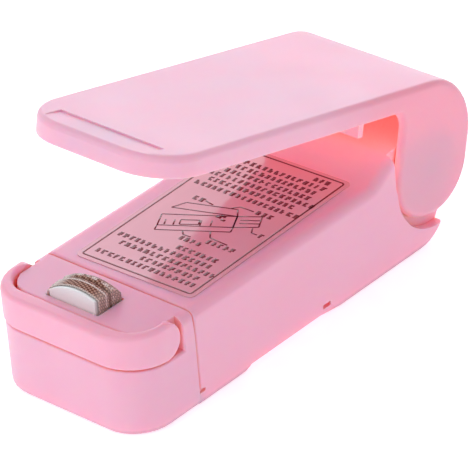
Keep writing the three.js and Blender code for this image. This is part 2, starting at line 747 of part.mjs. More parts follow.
// A strip over the arch between two heights above its ridges
function archStrip(fromShare, toShare, lowOffset, highOffset, drop) {
  const shares = ridgeDepthShares.filter((share) => share > fromShare && share < toShare);
  const across = [fromShare, ...shares, toShare];
  const grid = (offset) => archPath(offset, drop).map(({ x, z }, row, all) => across.map((share) => {
    const upright = row === 0 || row === all.length - 1;
    return [headCentreX + x, clothFront + clothDepth * share, upright ? z : z + ridgeRise(share)];
  }));
  return sheet(grid(highOffset), grid(lowOffset));
}

function heaterSpring(side) {
  const low = bracketTop;
  const high = plateUnderside - headBodyDepth / 2 + headSpringPocketDepth;
  const half = headSpringWire / 2 + headSpringEndGap;
  const points = coilPoints(headSpringRadius, headSpringRadius, high - low - 2 * half, headSpringCurls);
  const at = new THREE.Vector3(headCentreX + side * headSpringSpread, headSpringY, low + half);
  if (side < 0) reportGap('heater_spring', points, headSpringWire);
  return wire(points.map((point) => point.add(at)), headSpringWire / 2, 5, points.length - 1);
}

function heaterBracket() {
  const low = noseWall + bracketRise;
  const high = bracketTop;
  const front = windowFront + fitGap;
  let bracket = block([-bracketHalfWidth, front, low], [bracketHalfWidth, bracketRear, high]);
  for (const side of [-1, 1]) {
    const at = [side * postSpread, postFromFront, 0];
    bracket = bracket.add(rod(bracketPostRadius, 'z', noseWall, high, at, 20));
    const holeTop = screwLength + fitGap;
    bracket = bracket.subtract(rod(screwRadius + pinClearance, 'z', noseWall - overrun, holeTop, at, 16));
    const boss = [headCentreX + side * headSpringSpread, headSpringY, high];
    const bossHalf = bracketThickness / 2;
    bracket = bracket.add(rod(headSpringRadius - headSpringWire, 'z', -bossHalf, bossHalf, boss, 12));
  }
  // Block that clamps the two leaves of the switch
  const blockLeft = headCentreX + headHalfWidth + leafBlockGap;
  const blockTop = high + 2 * leafSpacing + 2 * leafThickness;
  bracket = bracket.add(block(
    [blockLeft, leafFront - fitGap, low],
    [blockLeft + leafBlockWidth, leafRear + fitGap, blockTop]));
  for (const rank of [1, 2]) {
    const z = high + rank * leafSpacing;
    bracket = bracket.subtract(block(
      [blockLeft - overrun, leafFront - bearingGap, z - bearingGap],
      [blockLeft + leafBlockWidth - leafThickness, leafRear + bearingGap, z + leafThickness + bearingGap]));
  }
  return bracket;
}

function switchLeaf(rank) {
  const z = bracketTop + rank * leafSpacing;
  const right = headCentreX + headHalfWidth + leafBlockGap + leafBlockWidth - 2 * leafThickness;
  return block(
    [headCentreX - leafWidth, leafFront, z],
    [right, leafRear, z + leafThickness]);
}

// A cell along Y: can and button, with its button end at the front or at the rear
function cell(x, canFrom, buttonSign) {
  const radius = cellDiameter / 2;
  const button = cellButtonDiameter / 2;
  const profile = [
    [0, 0],
    [radius - cellEdgeRadius, 0],
    [radius, cellEdgeRadius],
    [radius, cellCanLength - cellEdgeRadius],
    [radius - cellEdgeRadius, cellCanLength],
    [button, cellCanLength],
    [button, cellCanLength + cellButtonLength],
    [0, cellCanLength + cellButtonLength],
  ];
  const geometry = new THREE.LatheGeometry(profile.map(([r, h]) => new THREE.Vector2(r, h)), 28);
  if (buttonSign < 0) geometry.rotateX(Math.PI).translate(0, cellCanLength, 0);
  geometry.translate(x, canFrom, cellAxisZ);
  return solidOf(geometry);
}

// Conical coil along Y from a plate to a cell's flat end
function contactSpring(x, from, direction, name) {
  const half = contactSpringWire / 2 + bearingGap;
  const length = contactSpringLength - 2 * half;
  const points = coilPoints(contactSpringWide, contactSpringNarrow, length, contactSpringCurls);
  reportGap(name, points, contactSpringWire);
  const placed = points.map(({ x: a, y: b, z: along }) => {
    return new THREE.Vector3(x + a, from + direction * (half + along), cellAxisZ + b);
  });
  return wire(placed, contactSpringWire / 2, 5, placed.length - 1);
}

function contactPlate(side) {
  const x = side * cellX;
  return block(
    [x - contactPlateWidth / 2, bayFront, cellAxisZ - contactPlateHeight / 2],
    [x + contactPlateWidth / 2, bayFront + contactThickness, cellAxisZ + contactPlateHeight / 2]);
}

// Lead from a contact plate, through its slot in the bulkhead and down to the bracket
function leadWire(side) {
  const x = side * (cellX + contactPlateWidth / 2 - contactTabWidth / 2);
  const z = cellAxisZ + contactPlateHeight / 2 - contactTabWidth / 2;
  const endX = side * (bracketHalfWidth - 2 * leadRadius);
  const corners = [
    [x, bayFront - fitGap, z],
    [x, shellFront, z],
    [(x + endX) / 2, (noseLength + bracketRear) / 2, (z + bracketTop) / 2],
    [endX, bracketRear - leadRadius, bracketTop + 2 * leadRadius + fitGap],
    [endX, bracketRear - bracketSetback, bracketTop + leadRadius + fitGap],
  ];
  return wire(corners.map((corner) => new THREE.Vector3(...corner)), leadRadius, 8, 20);
}

function batteryDoor() {
  const half = bayHalfWidth - fitGap;
  const [front, rear] = [bayFront + fitGap, bayRear - fitGap];
  let door = prism(roundedPlan(half, front, rear, fitGap, fitGap, 3), 'z', doorRecess, doorTop);
  // Thumb ridges below, and a finger notch in the rear edge
  const pitch = 3 * gripRidgeWidth;
  const firstRidge = (rimCutFlatStart + rimCutFlatEnd) / 2 - 2 * pitch;
  for (let i = 0; i < 5; i += 1) {
    const y = firstRidge + i * pitch;
    door = door.add(prism([
      [y - gripRidgeWidth / 2, doorRecess + gripRidgeHeight],
      [y - gripRidgeWidth / 2, doorRecess],
      [y, doorRecess - gripRidgeHeight],
      [y + gripRidgeWidth / 2, doorRecess],
      [y + gripRidgeWidth / 2, doorRecess + gripRidgeHeight],
    ], 'x', -gripRidgeLength / 2, gripRidgeLength / 2));
  }
  return door.subtract(rod(gripRidgeLength / 4, 'z', -overrun, doorTop + overrun, [0, rear, 0], 20));
}

function nailScrew(side) {
  const profile = [
    [0, screwDriveDepth],
    [screwDriveRadius, screwDriveDepth],
    [screwDriveRadius, 0],
    [screwHeadRadius, 0],
    [screwHeadRadius, screwHeadThickness - pinClearance],
    [screwRadius, screwHeadThickness - pinClearance],
    [screwRadius, screwLength - screwRadius],
    [0, screwLength],
  ];
  return turned(profile, 16, 'z', [side * postSpread, postFromFront, 0]);
}

function returnSpring() {
  // Coil on the pin, one leg down in the pocket and one up under the lever
  const length = returnSpringPitch * returnSpringCurls;
  const along = coilPoints(returnSpringRadius, returnSpringRadius, length, returnSpringCurls);
  reportGap('return_spring', along, returnSpringWire);
  const turnBy = THREE.MathUtils.degToRad(180);
  const coil = along.map(({ x: a, y: b, z: across }) => new THREE.Vector3(
    across - length / 2,
    a * Math.cos(turnBy) - b * Math.sin(turnBy),
    a * Math.sin(turnBy) + b * Math.cos(turnBy)));
  const first = coil[0].clone().add(new THREE.Vector3(0, 0, pocketBelowPin - returnSpringWire));
  const open = THREE.MathUtils.degToRad(openDegrees);
  const tipUnder = leverUnder - fitGap - returnSpringWire / 2;
  const last = coil[coil.length - 1];
  const tip = new THREE.Vector3(
    last.x,
    -cheekRadius * Math.cos(open) + tipUnder * Math.sin(open),
    cheekRadius * Math.sin(open) + tipUnder * Math.cos(open));
  first.z = -(pocketBelowPin - returnSpringWire);
  const points = [first, ...coil, tip].map((point) => point.add(new THREE.Vector3(0, pinY, pinZ)));
  return wire(points, returnSpringWire / 2, 6, 2 * points.length);
}

function leverShell() {
  // Plate with its skirt, seen from above and rounded along its upper edge
  const plan = roundedPlan(leverHalfWidth, -leverReach, -cheekRadius, leverCornerRadius, 0, 10);
  const plateLow = rimZ - leverEdgeRadius - overrun;
  const plate = prism(plan, 'z', plateLow, leverTop, leverEdgeRadius, 4);
  const under = block(
    [-leverHalfWidth - overrun, -leverReach - overrun, plateLow - overrun],
    [leverHalfWidth + overrun, overrun, rimZ]);
  const skirted = plate.subtract(under);

  // Cheeks and the wall that curls down behind the hinge, seen from the side
  const side = (rearRadius, rearY, topZ, frontY) => [
    [frontY, rimZ],
    ...arc(-cheekRadius - cheekFilletRadius, rimZ - cheekFilletRadius, cheekFilletRadius, 90, 0, 6),
    ...arc(0, 0, cheekRadius, 180, 270, 12),
    ...arc(rearWallExtra, 0, cheekRadius, 270, 360, 12),
    ...arc(rearY - rearRadius, topZ - rearRadius, rearRadius, 0, 90, 12),
    [frontY, topZ],
  ];
  const frontY = -cheekRadius - 3 * cheekFilletRadius;
  const rear = prism(side(leverRearCornerRadius, leverRear, leverTop, frontY),
    'x', -leverHalfWidth, leverHalfWidth, leverEdgeRadius, 4);
  let lever = skirted.add(rear);

  // Hollow between the skirt's sides and between the cheeks
  const innerPlan = roundedPlan(cheekInner, -leverReach + leverWall, 0, leverCornerRadius - leverWall, 0, 8);
  lever = lever.subtract(prism(innerPlan, 'z', -cheekRadius - overrun, leverUnder));
  const innerRear = leverRear - leverWall;
  const innerRadius = leverRearCornerRadius - leverWall;
  lever = lever.subtract(prism([
    [-leverRearCornerRadius, leverUnder],
    [-leverRearCornerRadius, -cheekRadius - overrun],
    [leverRear + overrun, -cheekRadius - overrun],
    [leverRear + overrun, -rearWallBelowPin],
    [innerRear, -rearWallBelowPin],
    ...arc(innerRear - innerRadius, leverUnder - innerRadius, innerRadius, 0, 90, 12),
  ], 'x', -cheekInner, cheekInner));

  // Pin sockets in the cheeks
  const socketReach = cheekInner + pinSocketDepth;
  lever = lever.subtract(rod(pinRadius + pinClearance, 'x', -socketReach, socketReach, [0, 0, 0]));

  // Stop bar, ribs and the seat of the press pad on the underside
  const inLid = leverUnder + leverWall / 2;
  const barRear = -stopBarBeforePin + stopBarThickness / 2;
  lever = lever.add(block(
    [-stopBarHalfWidth, barRear - stopBarThickness, leverUnder - stopBarHeight],
    [stopBarHalfWidth, barRear, inLid]));
  const seatFront = -leverReach + leverWall + fitGap;
  const seatRear = seatFront + padDepth;
  for (const sideSign of [-1, 1]) {
    lever = lever.add(block(
      [sideSign * ribSpread - ribThickness / 2, seatRear + padDepth / 2, leverUnder - ribHeight],
      [sideSign * ribSpread + ribThickness / 2, barRear - stopBarThickness / 2, inLid]));
  }
  lever = lever.add(block(
    [-padHalfWidth, seatFront, leverUnder - padSeatHeight],
    [padHalfWidth, seatRear, inLid]));

  // Shallow landing behind the front edge, deepest at its rear step
  const landingFront = -leverReach + leverEdgeRadius / 2;
  return lever.subtract(prism([
    [landingFront + landingLength, leverTop - landingDepth],
    [landingFront + landingLength, leverTop + overrun],
    [landingFront, leverTop + overrun],
    [landingFront, leverTop],
  ], 'x', -landingHalfWidth, landingHalfWidth));
}

function pressPad() {
  const front = -leverReach + leverWall + fitGap;
  return block(
    [-padHalfWidth, front, padUnder],
    [padHalfWidth, front + padDepth, padUnder + padThickness]);
}

function labelFilm() {
  const filmFront = shellFront + filmFromSeam;
  const filmLength = humpEnd - humpLength - filmFromHump - filmFront;
  const half = filmLength / 2;
  const plan = roundedPlan(filmHalfWidth, -half, half, filmCornerRadius, filmCornerRadius, 4);
  const turn = THREE.MathUtils.degToRad(filmTurnDegrees);
  const centreY = filmFront + filmLength / 2;
  const placed = plan.map(([x, y]) => [
    filmOffsetX + x * Math.cos(turn) - y * Math.sin(turn),
    centreY + x * Math.sin(turn) + y * Math.cos(turn),
  ]);
  return prism(placed, 'z', baseTop, baseTop + filmThickness);
}

const base = new THREE.Group();
const cellPlate = bayFront + contactThickness;
const bridgeFront = bayRear - contactThickness;
base.add(
  piece('base_shell', baseShell(), pinkGloss),
  piece('nose_cover', noseCover(), pinkGloss),
  piece('battery_door', batteryDoor(), pinkGloss),
  piece('battery_left', cell(-cellX, cellPlate + contactSpringLength, 1), cellSleeve),
  piece('battery_right', cell(cellX, cellPlate + cellButtonLength, -1), cellSleeve),
  piece('contact_plate_left', contactPlate(-1), nickelSteel),
  piece('contact_plate_right', contactPlate(1), nickelSteel),
  piece('contact_bridge', block(
    [-cellX - contactPlateWidth / 2, bridgeFront, cellAxisZ - contactPlateHeight / 2],
    [cellX + contactPlateWidth / 2, bayRear, cellAxisZ + contactPlateHeight / 2]), nickelSteel),
  piece('contact_spring_front', contactSpring(-cellX, cellPlate, 1, 'contact_spring_front'), nickelSteel),
  piece('contact_spring_rear', contactSpring(cellX, bridgeFront, -1, 'contact_spring_rear'), nickelSteel),
  piece('label_film', labelFilm(), clearFilm),
  piece('heater_bracket', heaterBracket(), blackPlastic),
  piece('heater_spring_left', heaterSpring(-1), plainSteel),
  piece('heater_spring_right', heaterSpring(1), plainSteel),
  piece('switch_leaf_lower', switchLeaf(1), brassSheet),
  piece('switch_leaf_upper', switchLeaf(2), brassSheet),
  piece('lead_wire_left', leadWire(-1), redLead),
  piece('lead_wire_right', leadWire(1), blackPlastic),
  piece('screw_left', nailScrew(-1), plainSteel),
  piece('screw_right', nailScrew(1), plainSteel),
  piece('hinge_pin', rod(pinRadius, 'x', -cheekInner - pinSocketDepth + pinClearance,
    cheekInner + pinSocketDepth - pinClearance, [0, pinY, pinZ]), plainSteel),
  piece('return_spring', returnSpring(), plainSteel),
);

const head = new THREE.Group();
head.add(
  piece('heater_holder', heaterHolder(), whiteCeramic),
  piece('heater_ribbon_front',
    archStrip(...frontRibbonShares, -ribbonThickness - ribbonGap, -ribbonGap, -ribbonTuck), nickelSteel),
  piece('heater_ribbon_rear',
    archStrip(...rearRibbonShares, -ribbonThickness - ribbonGap, -ribbonGap, -ribbonTuck), nickelSteel),
  piece('heater_cloth', archStrip(0, 1, 0, clothThickness, clothEndDrop), brownCloth),
);

const ring = new THREE.Group();
ring.add(piece('lock_ring', lockRing(), pinkGloss));

const lever = new THREE.Group();
lever.position.set(0, pinY, pinZ);
lever.rotation.x = -THREE.MathUtils.degToRad(openDegrees);
lever.add(
  piece('lever_shell', leverShell(), pinkLight),
  piece('press_pad', pressPad(), greySilicone),
);

// The rear of the open lever is the rearmost point of the whole.
const open = THREE.MathUtils.degToRad(openDegrees);
const rearCentreY = leverRear - leverRearCornerRadius;
const rearCentreZ = leverTop - leverRearCornerRadius;
const rearReach = rearCentreY * Math.cos(open) + rearCentreZ * Math.sin(open) + leverRearCornerRadius;

const sealer = new THREE.Group();
sealer.position.y = -(pinY + rearReach - ringProud) / 2;
sealer.add(base, head, ring, lever);

export default sealer;
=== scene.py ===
import math
import random

import bmesh
import bpy
from bpy.props import FloatProperty, FloatVectorProperty, IntProperty, PointerProperty
from mathutils import Matrix, Vector


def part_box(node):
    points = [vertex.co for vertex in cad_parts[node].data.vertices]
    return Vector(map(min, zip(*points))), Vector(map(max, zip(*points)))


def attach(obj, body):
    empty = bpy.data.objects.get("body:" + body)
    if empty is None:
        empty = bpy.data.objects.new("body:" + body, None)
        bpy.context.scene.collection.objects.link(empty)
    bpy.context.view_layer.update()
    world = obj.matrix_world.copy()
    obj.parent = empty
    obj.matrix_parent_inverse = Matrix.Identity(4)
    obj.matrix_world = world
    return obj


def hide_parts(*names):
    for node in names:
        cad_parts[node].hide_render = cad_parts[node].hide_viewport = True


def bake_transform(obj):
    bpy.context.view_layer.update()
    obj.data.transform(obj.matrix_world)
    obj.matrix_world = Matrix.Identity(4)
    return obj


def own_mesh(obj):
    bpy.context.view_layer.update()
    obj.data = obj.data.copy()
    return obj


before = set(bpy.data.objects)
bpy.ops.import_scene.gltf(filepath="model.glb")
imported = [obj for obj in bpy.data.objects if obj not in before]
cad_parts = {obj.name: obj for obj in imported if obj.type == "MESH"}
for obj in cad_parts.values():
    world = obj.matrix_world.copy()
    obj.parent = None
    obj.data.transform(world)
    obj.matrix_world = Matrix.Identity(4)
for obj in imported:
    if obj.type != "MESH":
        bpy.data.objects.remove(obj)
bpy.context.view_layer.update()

bl_info = {
    "name": "Mini Bag Sealer Looks",
    "version": (1, 0, 0),
    "blender": (4, 5, 0),
    "location": "3D View > Sidebar > Bag Sealer",
    "description": "Finishes and fine pieces for a hand-held bag sealer on its packed frame",
    "category": "Object",
}

MM = 0.001

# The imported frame's origin lies this far behind the front of the nose
NOSE_TO_ORIGIN = 44.5925
# The heated head's middle lies a little left of the case's
HEAD_CENTRE = -1.15
# Straight steps in each turn of a coil
COIL_STEPS = 28

# Edges that get a broader radius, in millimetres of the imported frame: across to either side, along, up
ANY = (-math.inf, math.inf)
TOP_SEAM = (ANY, (-30, -29.4), (18.5, math.inf))
SIDE_SEAM = (ANY, (-math.inf, -20), (2.5, 18.55))
RING_LIP = (ANY, (-math.inf, -36), (19.3, math.inf))
PLATE_EDGE = ((-math.inf, 13), (-math.inf, -40.2), (18.5, 18.7))
CHEEK_RIM = ((15, math.inf), (18, math.inf), (-math.inf, 30.6))
# The nose's corners turn round these axes, and the case's skin lies beyond this distance from them
CORNER_ACROSS, CORNER_FRONT, SKIN_RADIUS = 9.4, -37.1, 7.2

# Where the case's painted light and shade begin and are full: an axis of the imported frame, and two places
# in millimetres
PAINTED_LIGHT_AND_SHADE_ZONES = {
    "clear": ("Z", 2, 8), "behind": ("Y", -14, 2), "rearward": ("Y", 8, 24), "raised": ("Z", 15, 19),
    "off_floor": ("Z", 1, 2.5), "cheek": ("Y", 19, 23), "flank": ("Y", 4, 22), "foot": ("Z", 1.2, 0.3),
}

# Rows of plain dashes on the film, in millimetres: place along it, then the row's start and end across it
LABEL_ROWS = (
    (19.4, 6.4, 9.9), (17.5, -8.7, 9.9), (15.6, -9.2, 9.9), (13.7, -10.2, 9.8), (11.8, -10.7, 11.8),
    (9.9, -9.4, 9.7), (7.8, -10.8, 11.8), (-10.6, 0.4, 9.7), (-12.6, -10.8, 9.9), (-14.6, -8.8, 11.4),
    (-16.6, -2.5, 9.8), (-18.6, -10.7, 11.4),
)
# Short rows at the ends of the leader lines, set out the same way
LEADER_ROWS = ((3.5, -7.6, -5.3), (5.3, 4.8, 8.6), (-0.4, 9.9, 11.6), (-6.6, 3.6, 9.2), (-8.0, -1.2, 3.2))
# A plain line drawing of an open case, made of straight strokes between these points
DRAWN_LINES = (
    ((-8.6, -3.8), (-7.0, -7.0), (4.6, -0.7), (3.0, 2.5), (-8.6, -3.8)),
    ((-7.0, -7.0), (-6.4, -8.4), (5.2, -2.1), (4.6, -0.7)),
    ((3.0, 2.5), (4.6, -0.7), (8.3, 1.7), (6.7, 4.7), (3.0, 2.5)),
    ((3.0, 2.5), (1.6, 4.3), (-7.4, 1.4), (-8.6, -1.2), (3.0, 2.5)),
    ((4.2, 1.8), (7.2, 3.5)), ((4.7, 0.9), (7.7, 2.6)),
    ((-6.9, -4.8), (-6.1, -6.2)), ((-5.5, -4.0), (-4.7, -5.5)), ((-1.4, -1.8), (-0.6, -3.3)),
    ((0.2, -0.9), (1.0, -2.4)), ((-4.6, -3.5), (-1.7, -1.9), (-1.0, -3.1), (-3.9, -4.8), (-4.6, -3.5)),
    ((-3.0, 3.2), (-5.0, 3.6)), ((0.4, 4.0), (1.4, 5.2), (4.4, 5.2)), ((7.6, 0.9), (8.4, -0.4), (9.6, -0.4)),
    ((2.2, -3.8), (3.4, -5.4), (7.4, -5.7)), ((-2.0, -6.2), (-1.2, -7.0), (0.4, -7.0)),
)
# Filled cells of the drawing: start across, place along, then size across and along
DRAWN_CELLS = ((-0.2, 0.6, 1.1, 0.55), (0.4, 1.2, 1.1, 0.55), (1.2, 0.2, 0.9, 0.5))


def linear(code):
    """Turns an sRGB hex code into the linear colour that a shader takes."""
    shares = [int(code[i:i + 2], 16) / 255 for i in (1, 3, 5)]
    return tuple(s / 12.92 if s <= 0.04045 else ((s + 0.055) / 1.055) ** 2.4 for s in shares)


def colour(name, description, code):
    """Declares a colour that a user can change."""
    return FloatVectorProperty(
        name=name, description=description, subtype="COLOR", size=3, min=0, max=1, default=linear(code))


def millimetres(name, description, size):
    """Declares a size that a user can change, held in metres."""
    return FloatProperty(
        name=name, description=description, subtype="DISTANCE", unit="LENGTH", min=0, precision=6,
        default=size * MM)


def portion(name, description, part):
    """Declares a part between none and all that a user can change."""
    return FloatProperty(name=name, description=description, subtype="FACTOR", min=0, max=1, default=part)


def light(name, description, strength, subtype="NONE"):
    """Declares how strong a light is, which a user can change."""
    return FloatProperty(name=name, description=description, subtype=subtype, min=0, default=strength)


class SealerCase(bpy.types.PropertyGroup):
    """Moulded case, ring and lever."""

    pink: colour("Pink", "Dyed plastic of the case", "#F5B1C9")
    # Painted shade: the tones laid into the seams and tight corners that a short occlusion test finds, on
    # the case and on the lever
    painted_crease_tone: colour("Crease", "Tone in the seams and tight corners of the case", "#FFACAA")
    lever_painted_crease_tone: colour("Lever crease", "Tone in the tight corners of the lever", "#EBBED4")
    # Painted shade: the darker tone laid along the lowest edge, where the case turns under
    foot: colour("Foot", "Tone along the lower edge, where the case turns under", "#B98AA2")
    # Painted light: the lever's copy of the plastic is set lighter than the case's, for the light on its top
    lever_pink_painted_lit: colour("Lever pink", "Dyed plastic of the lever, a little lighter", "#EBC2D8")
    pale_pink: colour("Pale pink", "Lighter streaks where the melt flowed", "#FBB8D0")
    # Painted light and shade: the deeper tone laid into folds that a wide occlusion test finds
    painted_fold_tone: colour("Fold", "Deeper tone where light passes the plastic several times", "#FFA09C")
    # Painted glow: the colour of the light that the plastic gives off in its folds and round the cheeks
    lit_fold: colour("Lit fold", "Tone of the light that comes through the lever's roof", "#FFB0A8")
    # Painted shade: the lever's sideways-facing cheeks are set darker than its top
    cheek_painted_shade: colour("Cheek pink", "The same plastic where the lever's cheeks are thickest", "#EFA9BF")
    # Painted glow: how strongly the plastic gives off light round the cheeks and in the folds
    gap_glow: portion("Gap glow", "Light out of the plastic in the narrow gap round the cheeks", 0.22)
    fold_glow: light("Fold glow", "Light carried through the thin walls into the folds", 0.34)
    roughness: portion("Satin", "Roughness of the moulded skin", 0.37)
    glow_depth: millimetres("Glow depth", "How far light wanders in the plastic", 2.5)
    edge_radius: millimetres("Edge radius", "Small radius on every moulded edge", 0.22)
    seam_radius: millimetres("Seam radius", "Radius along the parting lines of nose, ring and case", 0.5)
    lip_radius: millimetres(
        "Lip radius", "Radius of the ring's inner lip, which is halved at the plate's edge beside it", 0.8)


class SealerPrint(bpy.types.PropertyGroup):
    """Printed film on the top of the case."""

    ink: colour("Ink", "Screen-printed lines", "#6A0B1E")
    film: colour("Film", "Case colour as it shows through the film", "#E9AAB6")
    line_width: millimetres("Line width", "Width of the border line", 0.34)
    border_inset: millimetres("Border inset", "From the film's edge to the border line", 0.8)
    border_corner: millimetres("Border corner", "Corner radius of the border line", 0.7)
    dash_height: millimetres("Dash height", "Height of each dash in the rows", 0.37)
    seed: IntProperty(name="Seed", description="Picks how the dashes in the rows fall", min=0, default=7)


class SealerHeater(bpy.types.PropertyGroup):
    """Heated head with its woven cover."""

    brown: colour("Brown thread", "Heat-darkened threads of the cover", "#7C4229")
    cream: colour("Cream thread", "Clean threads of the cover", "#BC8F78")
    # Partly rubbed coating and partly a painted highlight along the ridges' crests
    pale_wear_and_highlight: colour("Worn thread", "Coating rubbed pale along the ridges and at the left end", "#F2EBE4")
    ceramic: colour("White resin", "Heat-proof block under the cover", "#F6FFFF")
    seed: IntProperty(name="Seed", description="Picks how the loose thread ends fall", min=0, default=3)
    slant: FloatProperty(
        name="Slant", description="Angle of the weave to the head", subtype="ANGLE", unit="ROTATION",
        default=math.radians(-24))
    thread: millimetres("Thread spacing", "From one thread of the weave to the next", 0.38)


class SealerMetal(bpy.types.PropertyGroup):
    """Springs, strips, screws and pin."""

    steel: colour("Steel", "Drawn spring wire and turned pin", "#C6C9CE")
    nickel: colour("Nickel", "Plated contact strip", "#D2CFC6")
    brass: colour("Brass", "Rolled switch leaf", "#CDA763")


class SealerStage(bpy.types.PropertyGroup):
    """Floor and lights round the sealer."""

    floor: colour("Floor", "Plain pale floor", "#F4F3F4")
    key_power: light("Key", "Power of the soft light at the front left", 0.7, "POWER")
    roof_power: light("Roof", "Power of the soft light above the front", 0.8, "POWER")
    wall_power: light("Wall", "Power of the bright wall behind at the left", 2.6, "POWER")
    sky: light("Sky", "Strength of the even light all round, near the ground", 0.64)
    table: light("Table", "Light that the floor gives of itself, as a light table", 0.58)
    zenith: light("Zenith", "Strength of the same light straight above", 0.56)


# Nodes and materials

def fill(node, values):
    """Gives a node its settings and its sockets' values, and links the sockets that others feed."""
    # Math and Mix nodes number their sockets; a Mix takes its share at 0 and its two colours at 6 and 7
    for key, value in values.items():
        if isinstance(value, bpy.types.NodeSocket):
            node.id_data.links.new(value, node.inputs[key])
        elif isinstance(key, str) and hasattr(node, key):
            setattr(node, key, value)
        else:
            node.inputs[key].default_value = value


def put(material, kind, values=None, out=0):
    """Adds one node to a material, fills it in, and returns the socket that it feeds others from."""
    node = material.node_tree.nodes.new(f"ShaderNode{kind}")
    fill(node, values or {})
    return node.outputs[out]


def fresh(name, values):
    """Starts a material named for what it is made of, and sets its shader's own sockets."""
    material = bpy.data.materials.new(name)
    material.use_nodes = True
    shader = next(n for n in material.node_tree.nodes if n.type == "BSDF_PRINCIPLED")
    fill(shader, values)
    return material, shader


def scaled(tone, factor, lift=0.0):
    """Makes a linear colour lighter or darker by a factor, and lifts it off black."""
    return tuple(min(1, c * factor + lift) for c in tone)


def moulded_abs(name, tone, painted_crease_tone, flank, case):
    """ABS dyed through, moulded in a satin tool: soft sheen, faint grain, painted glow and shade in folds,
    seams, cheeks, foot.
    """
    material, shader = fresh(name, {
        "IOR": 1.52, "Subsurface Weight": 0.85, "Subsurface Radius": (1.0, 0.26, 0.14),
        "Subsurface Scale": case.glow_depth, "Emission Color": (*case.lit_fold, 1)})
    place = put(material, "TexCoord", out="Object")
    sides = put(material, "SeparateXYZ", {"Vector": place}).node.outputs
    zones = {}
    for zone, (axis, begin, full) in PAINTED_LIGHT_AND_SHADE_ZONES.items():
        zones[zone] = put(material, "MapRange", {
            "From Min": begin * MM, "From Max": full * MM, "Value": sides[axis]})
    # Melt flow leaves broad, faint streaks along the case, some 20 mm long
    stretch = put(material, "Mapping", {"Scale": (1, 0.35, 1), "Vector": place})
    flow = put(material, "TexNoise", {"Scale": 1 / (9 * MM), "Detail": 2.0, "Vector": stretch})
    tint = put(material, "Mix", {"data_type": "RGBA", 0: flow, 6: (*tone, 1), 7: (*case.pale_pink, 1)}, 2)
    # Painted light and shade: where a wide occlusion test finds a fold, the colour is set to a deeper tone,
    # in place of light that has passed the plastic several times
    openness = put(material, "AmbientOcclusion", {"samples": 6, "Distance": 18 * MM}, "AO")
    depth = put(material, "MapRange", {"From Min": 0.5, "From Max": 0.1, "Value": openness})
    for part in ("clear", "behind"):
        depth = put(material, "Math", {"operation": "MULTIPLY", 0: depth, 1: zones[part]})
    folded = put(material, "Mix", {"data_type": "RGBA", 0: depth, 6: tint, 7: (*case.painted_fold_tone, 1)}, 2)
    # Painted glow: the space under the lever near the hinge gives off light though it is no lamp, in place
    # of light that comes through the lever's thin roof
    hollow = put(material, "MapRange", {"From Min": 0.03, "From Max": 0.12, "Value": openness})
    glow = put(material, "MapRange", {"From Min": 0.9, "From Max": 0.42, "Value": openness})
    for part in (zones["rearward"], zones["raised"], hollow, case.fold_glow):
        glow = put(material, "Math", {"operation": "MULTIPLY", 0: glow, 1: part})
    # Painted shade: seams and tight corners, found by a short occlusion test, are set to a deeper tone over
    # the last millimetre
    near = put(material, "AmbientOcclusion", {"samples": 6, "Distance": 2 * MM}, "AO")
    tight = put(material, "MapRange", {"From Min": 0.75, "From Max": 0.3, "Value": near})
    tight = put(material, "Math", {"operation": "MULTIPLY", 0: tight, 1: zones["off_floor"]})
    corner = put(material, "Mix", {
        "data_type": "RGBA", 0: zones["behind"], 6: (*painted_crease_tone, 1), 7: (*case.painted_crease_tone, 1)}, 2)
    skin = put(material, "Mix", {"data_type": "RGBA", 0: tight, 6: folded, 7: corner}, 2)
    # Painted glow: the narrow gap round the lever's cheeks gives off light the same way
    reach = put(material, "Math", {"operation": "ABSOLUTE", 0: sides["X"]})
    outer = put(material, "MapRange", {"From Min": 15.4 * MM, "From Max": 16.2 * MM, "Value": reach})
    gap = tight
    for part in (zones["cheek"], outer, case.gap_glow):
        gap = put(material, "Math", {"operation": "MULTIPLY", 0: gap, 1: part})
    lit = put(material, "Math", {"operation": "MAXIMUM", 0: glow, 1: gap})
    # Painted shade: the cheeks' outer walls, which face sideways, are set to a deeper, darker pink than the
    # lever's top
    if flank:
        share = put(material, "Math", {"operation": "MULTIPLY", 0: zones["flank"], 1: outer})
        skin = put(material, "Mix", {"data_type": "RGBA", 0: share, 6: skin, 7: (*flank, 1)}, 2)
    # Painted shade: the lowest edge, where the case turns under, is set darker
    low = put(material, "Math", {"operation": "MULTIPLY", 0: zones["foot"], 1: 0.8})
    dyed = put(material, "Mix", {"data_type": "RGBA", 0: low, 6: skin, 7: (*case.foot, 1)}, 2)
    # Spark-eroded grain is near 0.05 mm; it is drawn at 0.3 mm so that it shows at all
    grain = put(material, "TexNoise", {"Scale": 1 / (0.3 * MM), "Detail": 1.0, "Vector": place})
    bump = put(material, "Bump", {"Strength": 0.35, "Distance": 0.004 * MM, "Height": grain})
    # Handling leaves the sheen uneven over patches of about 12 mm
    worn = put(material, "TexNoise", {"Scale": 1 / (12 * MM), "Detail": 3.0, "Vector": place})
    sheen = put(material, "MapRange", {
        "From Min": 0.3, "From Max": 0.7, "To Min": case.roughness - 0.04, "To Max": case.roughness + 0.06,
        "Value": worn})
    fill(shader, {"Base Color": dyed, "Roughness": sheen, "Normal": bump, "Emission Strength": lit})
    return material


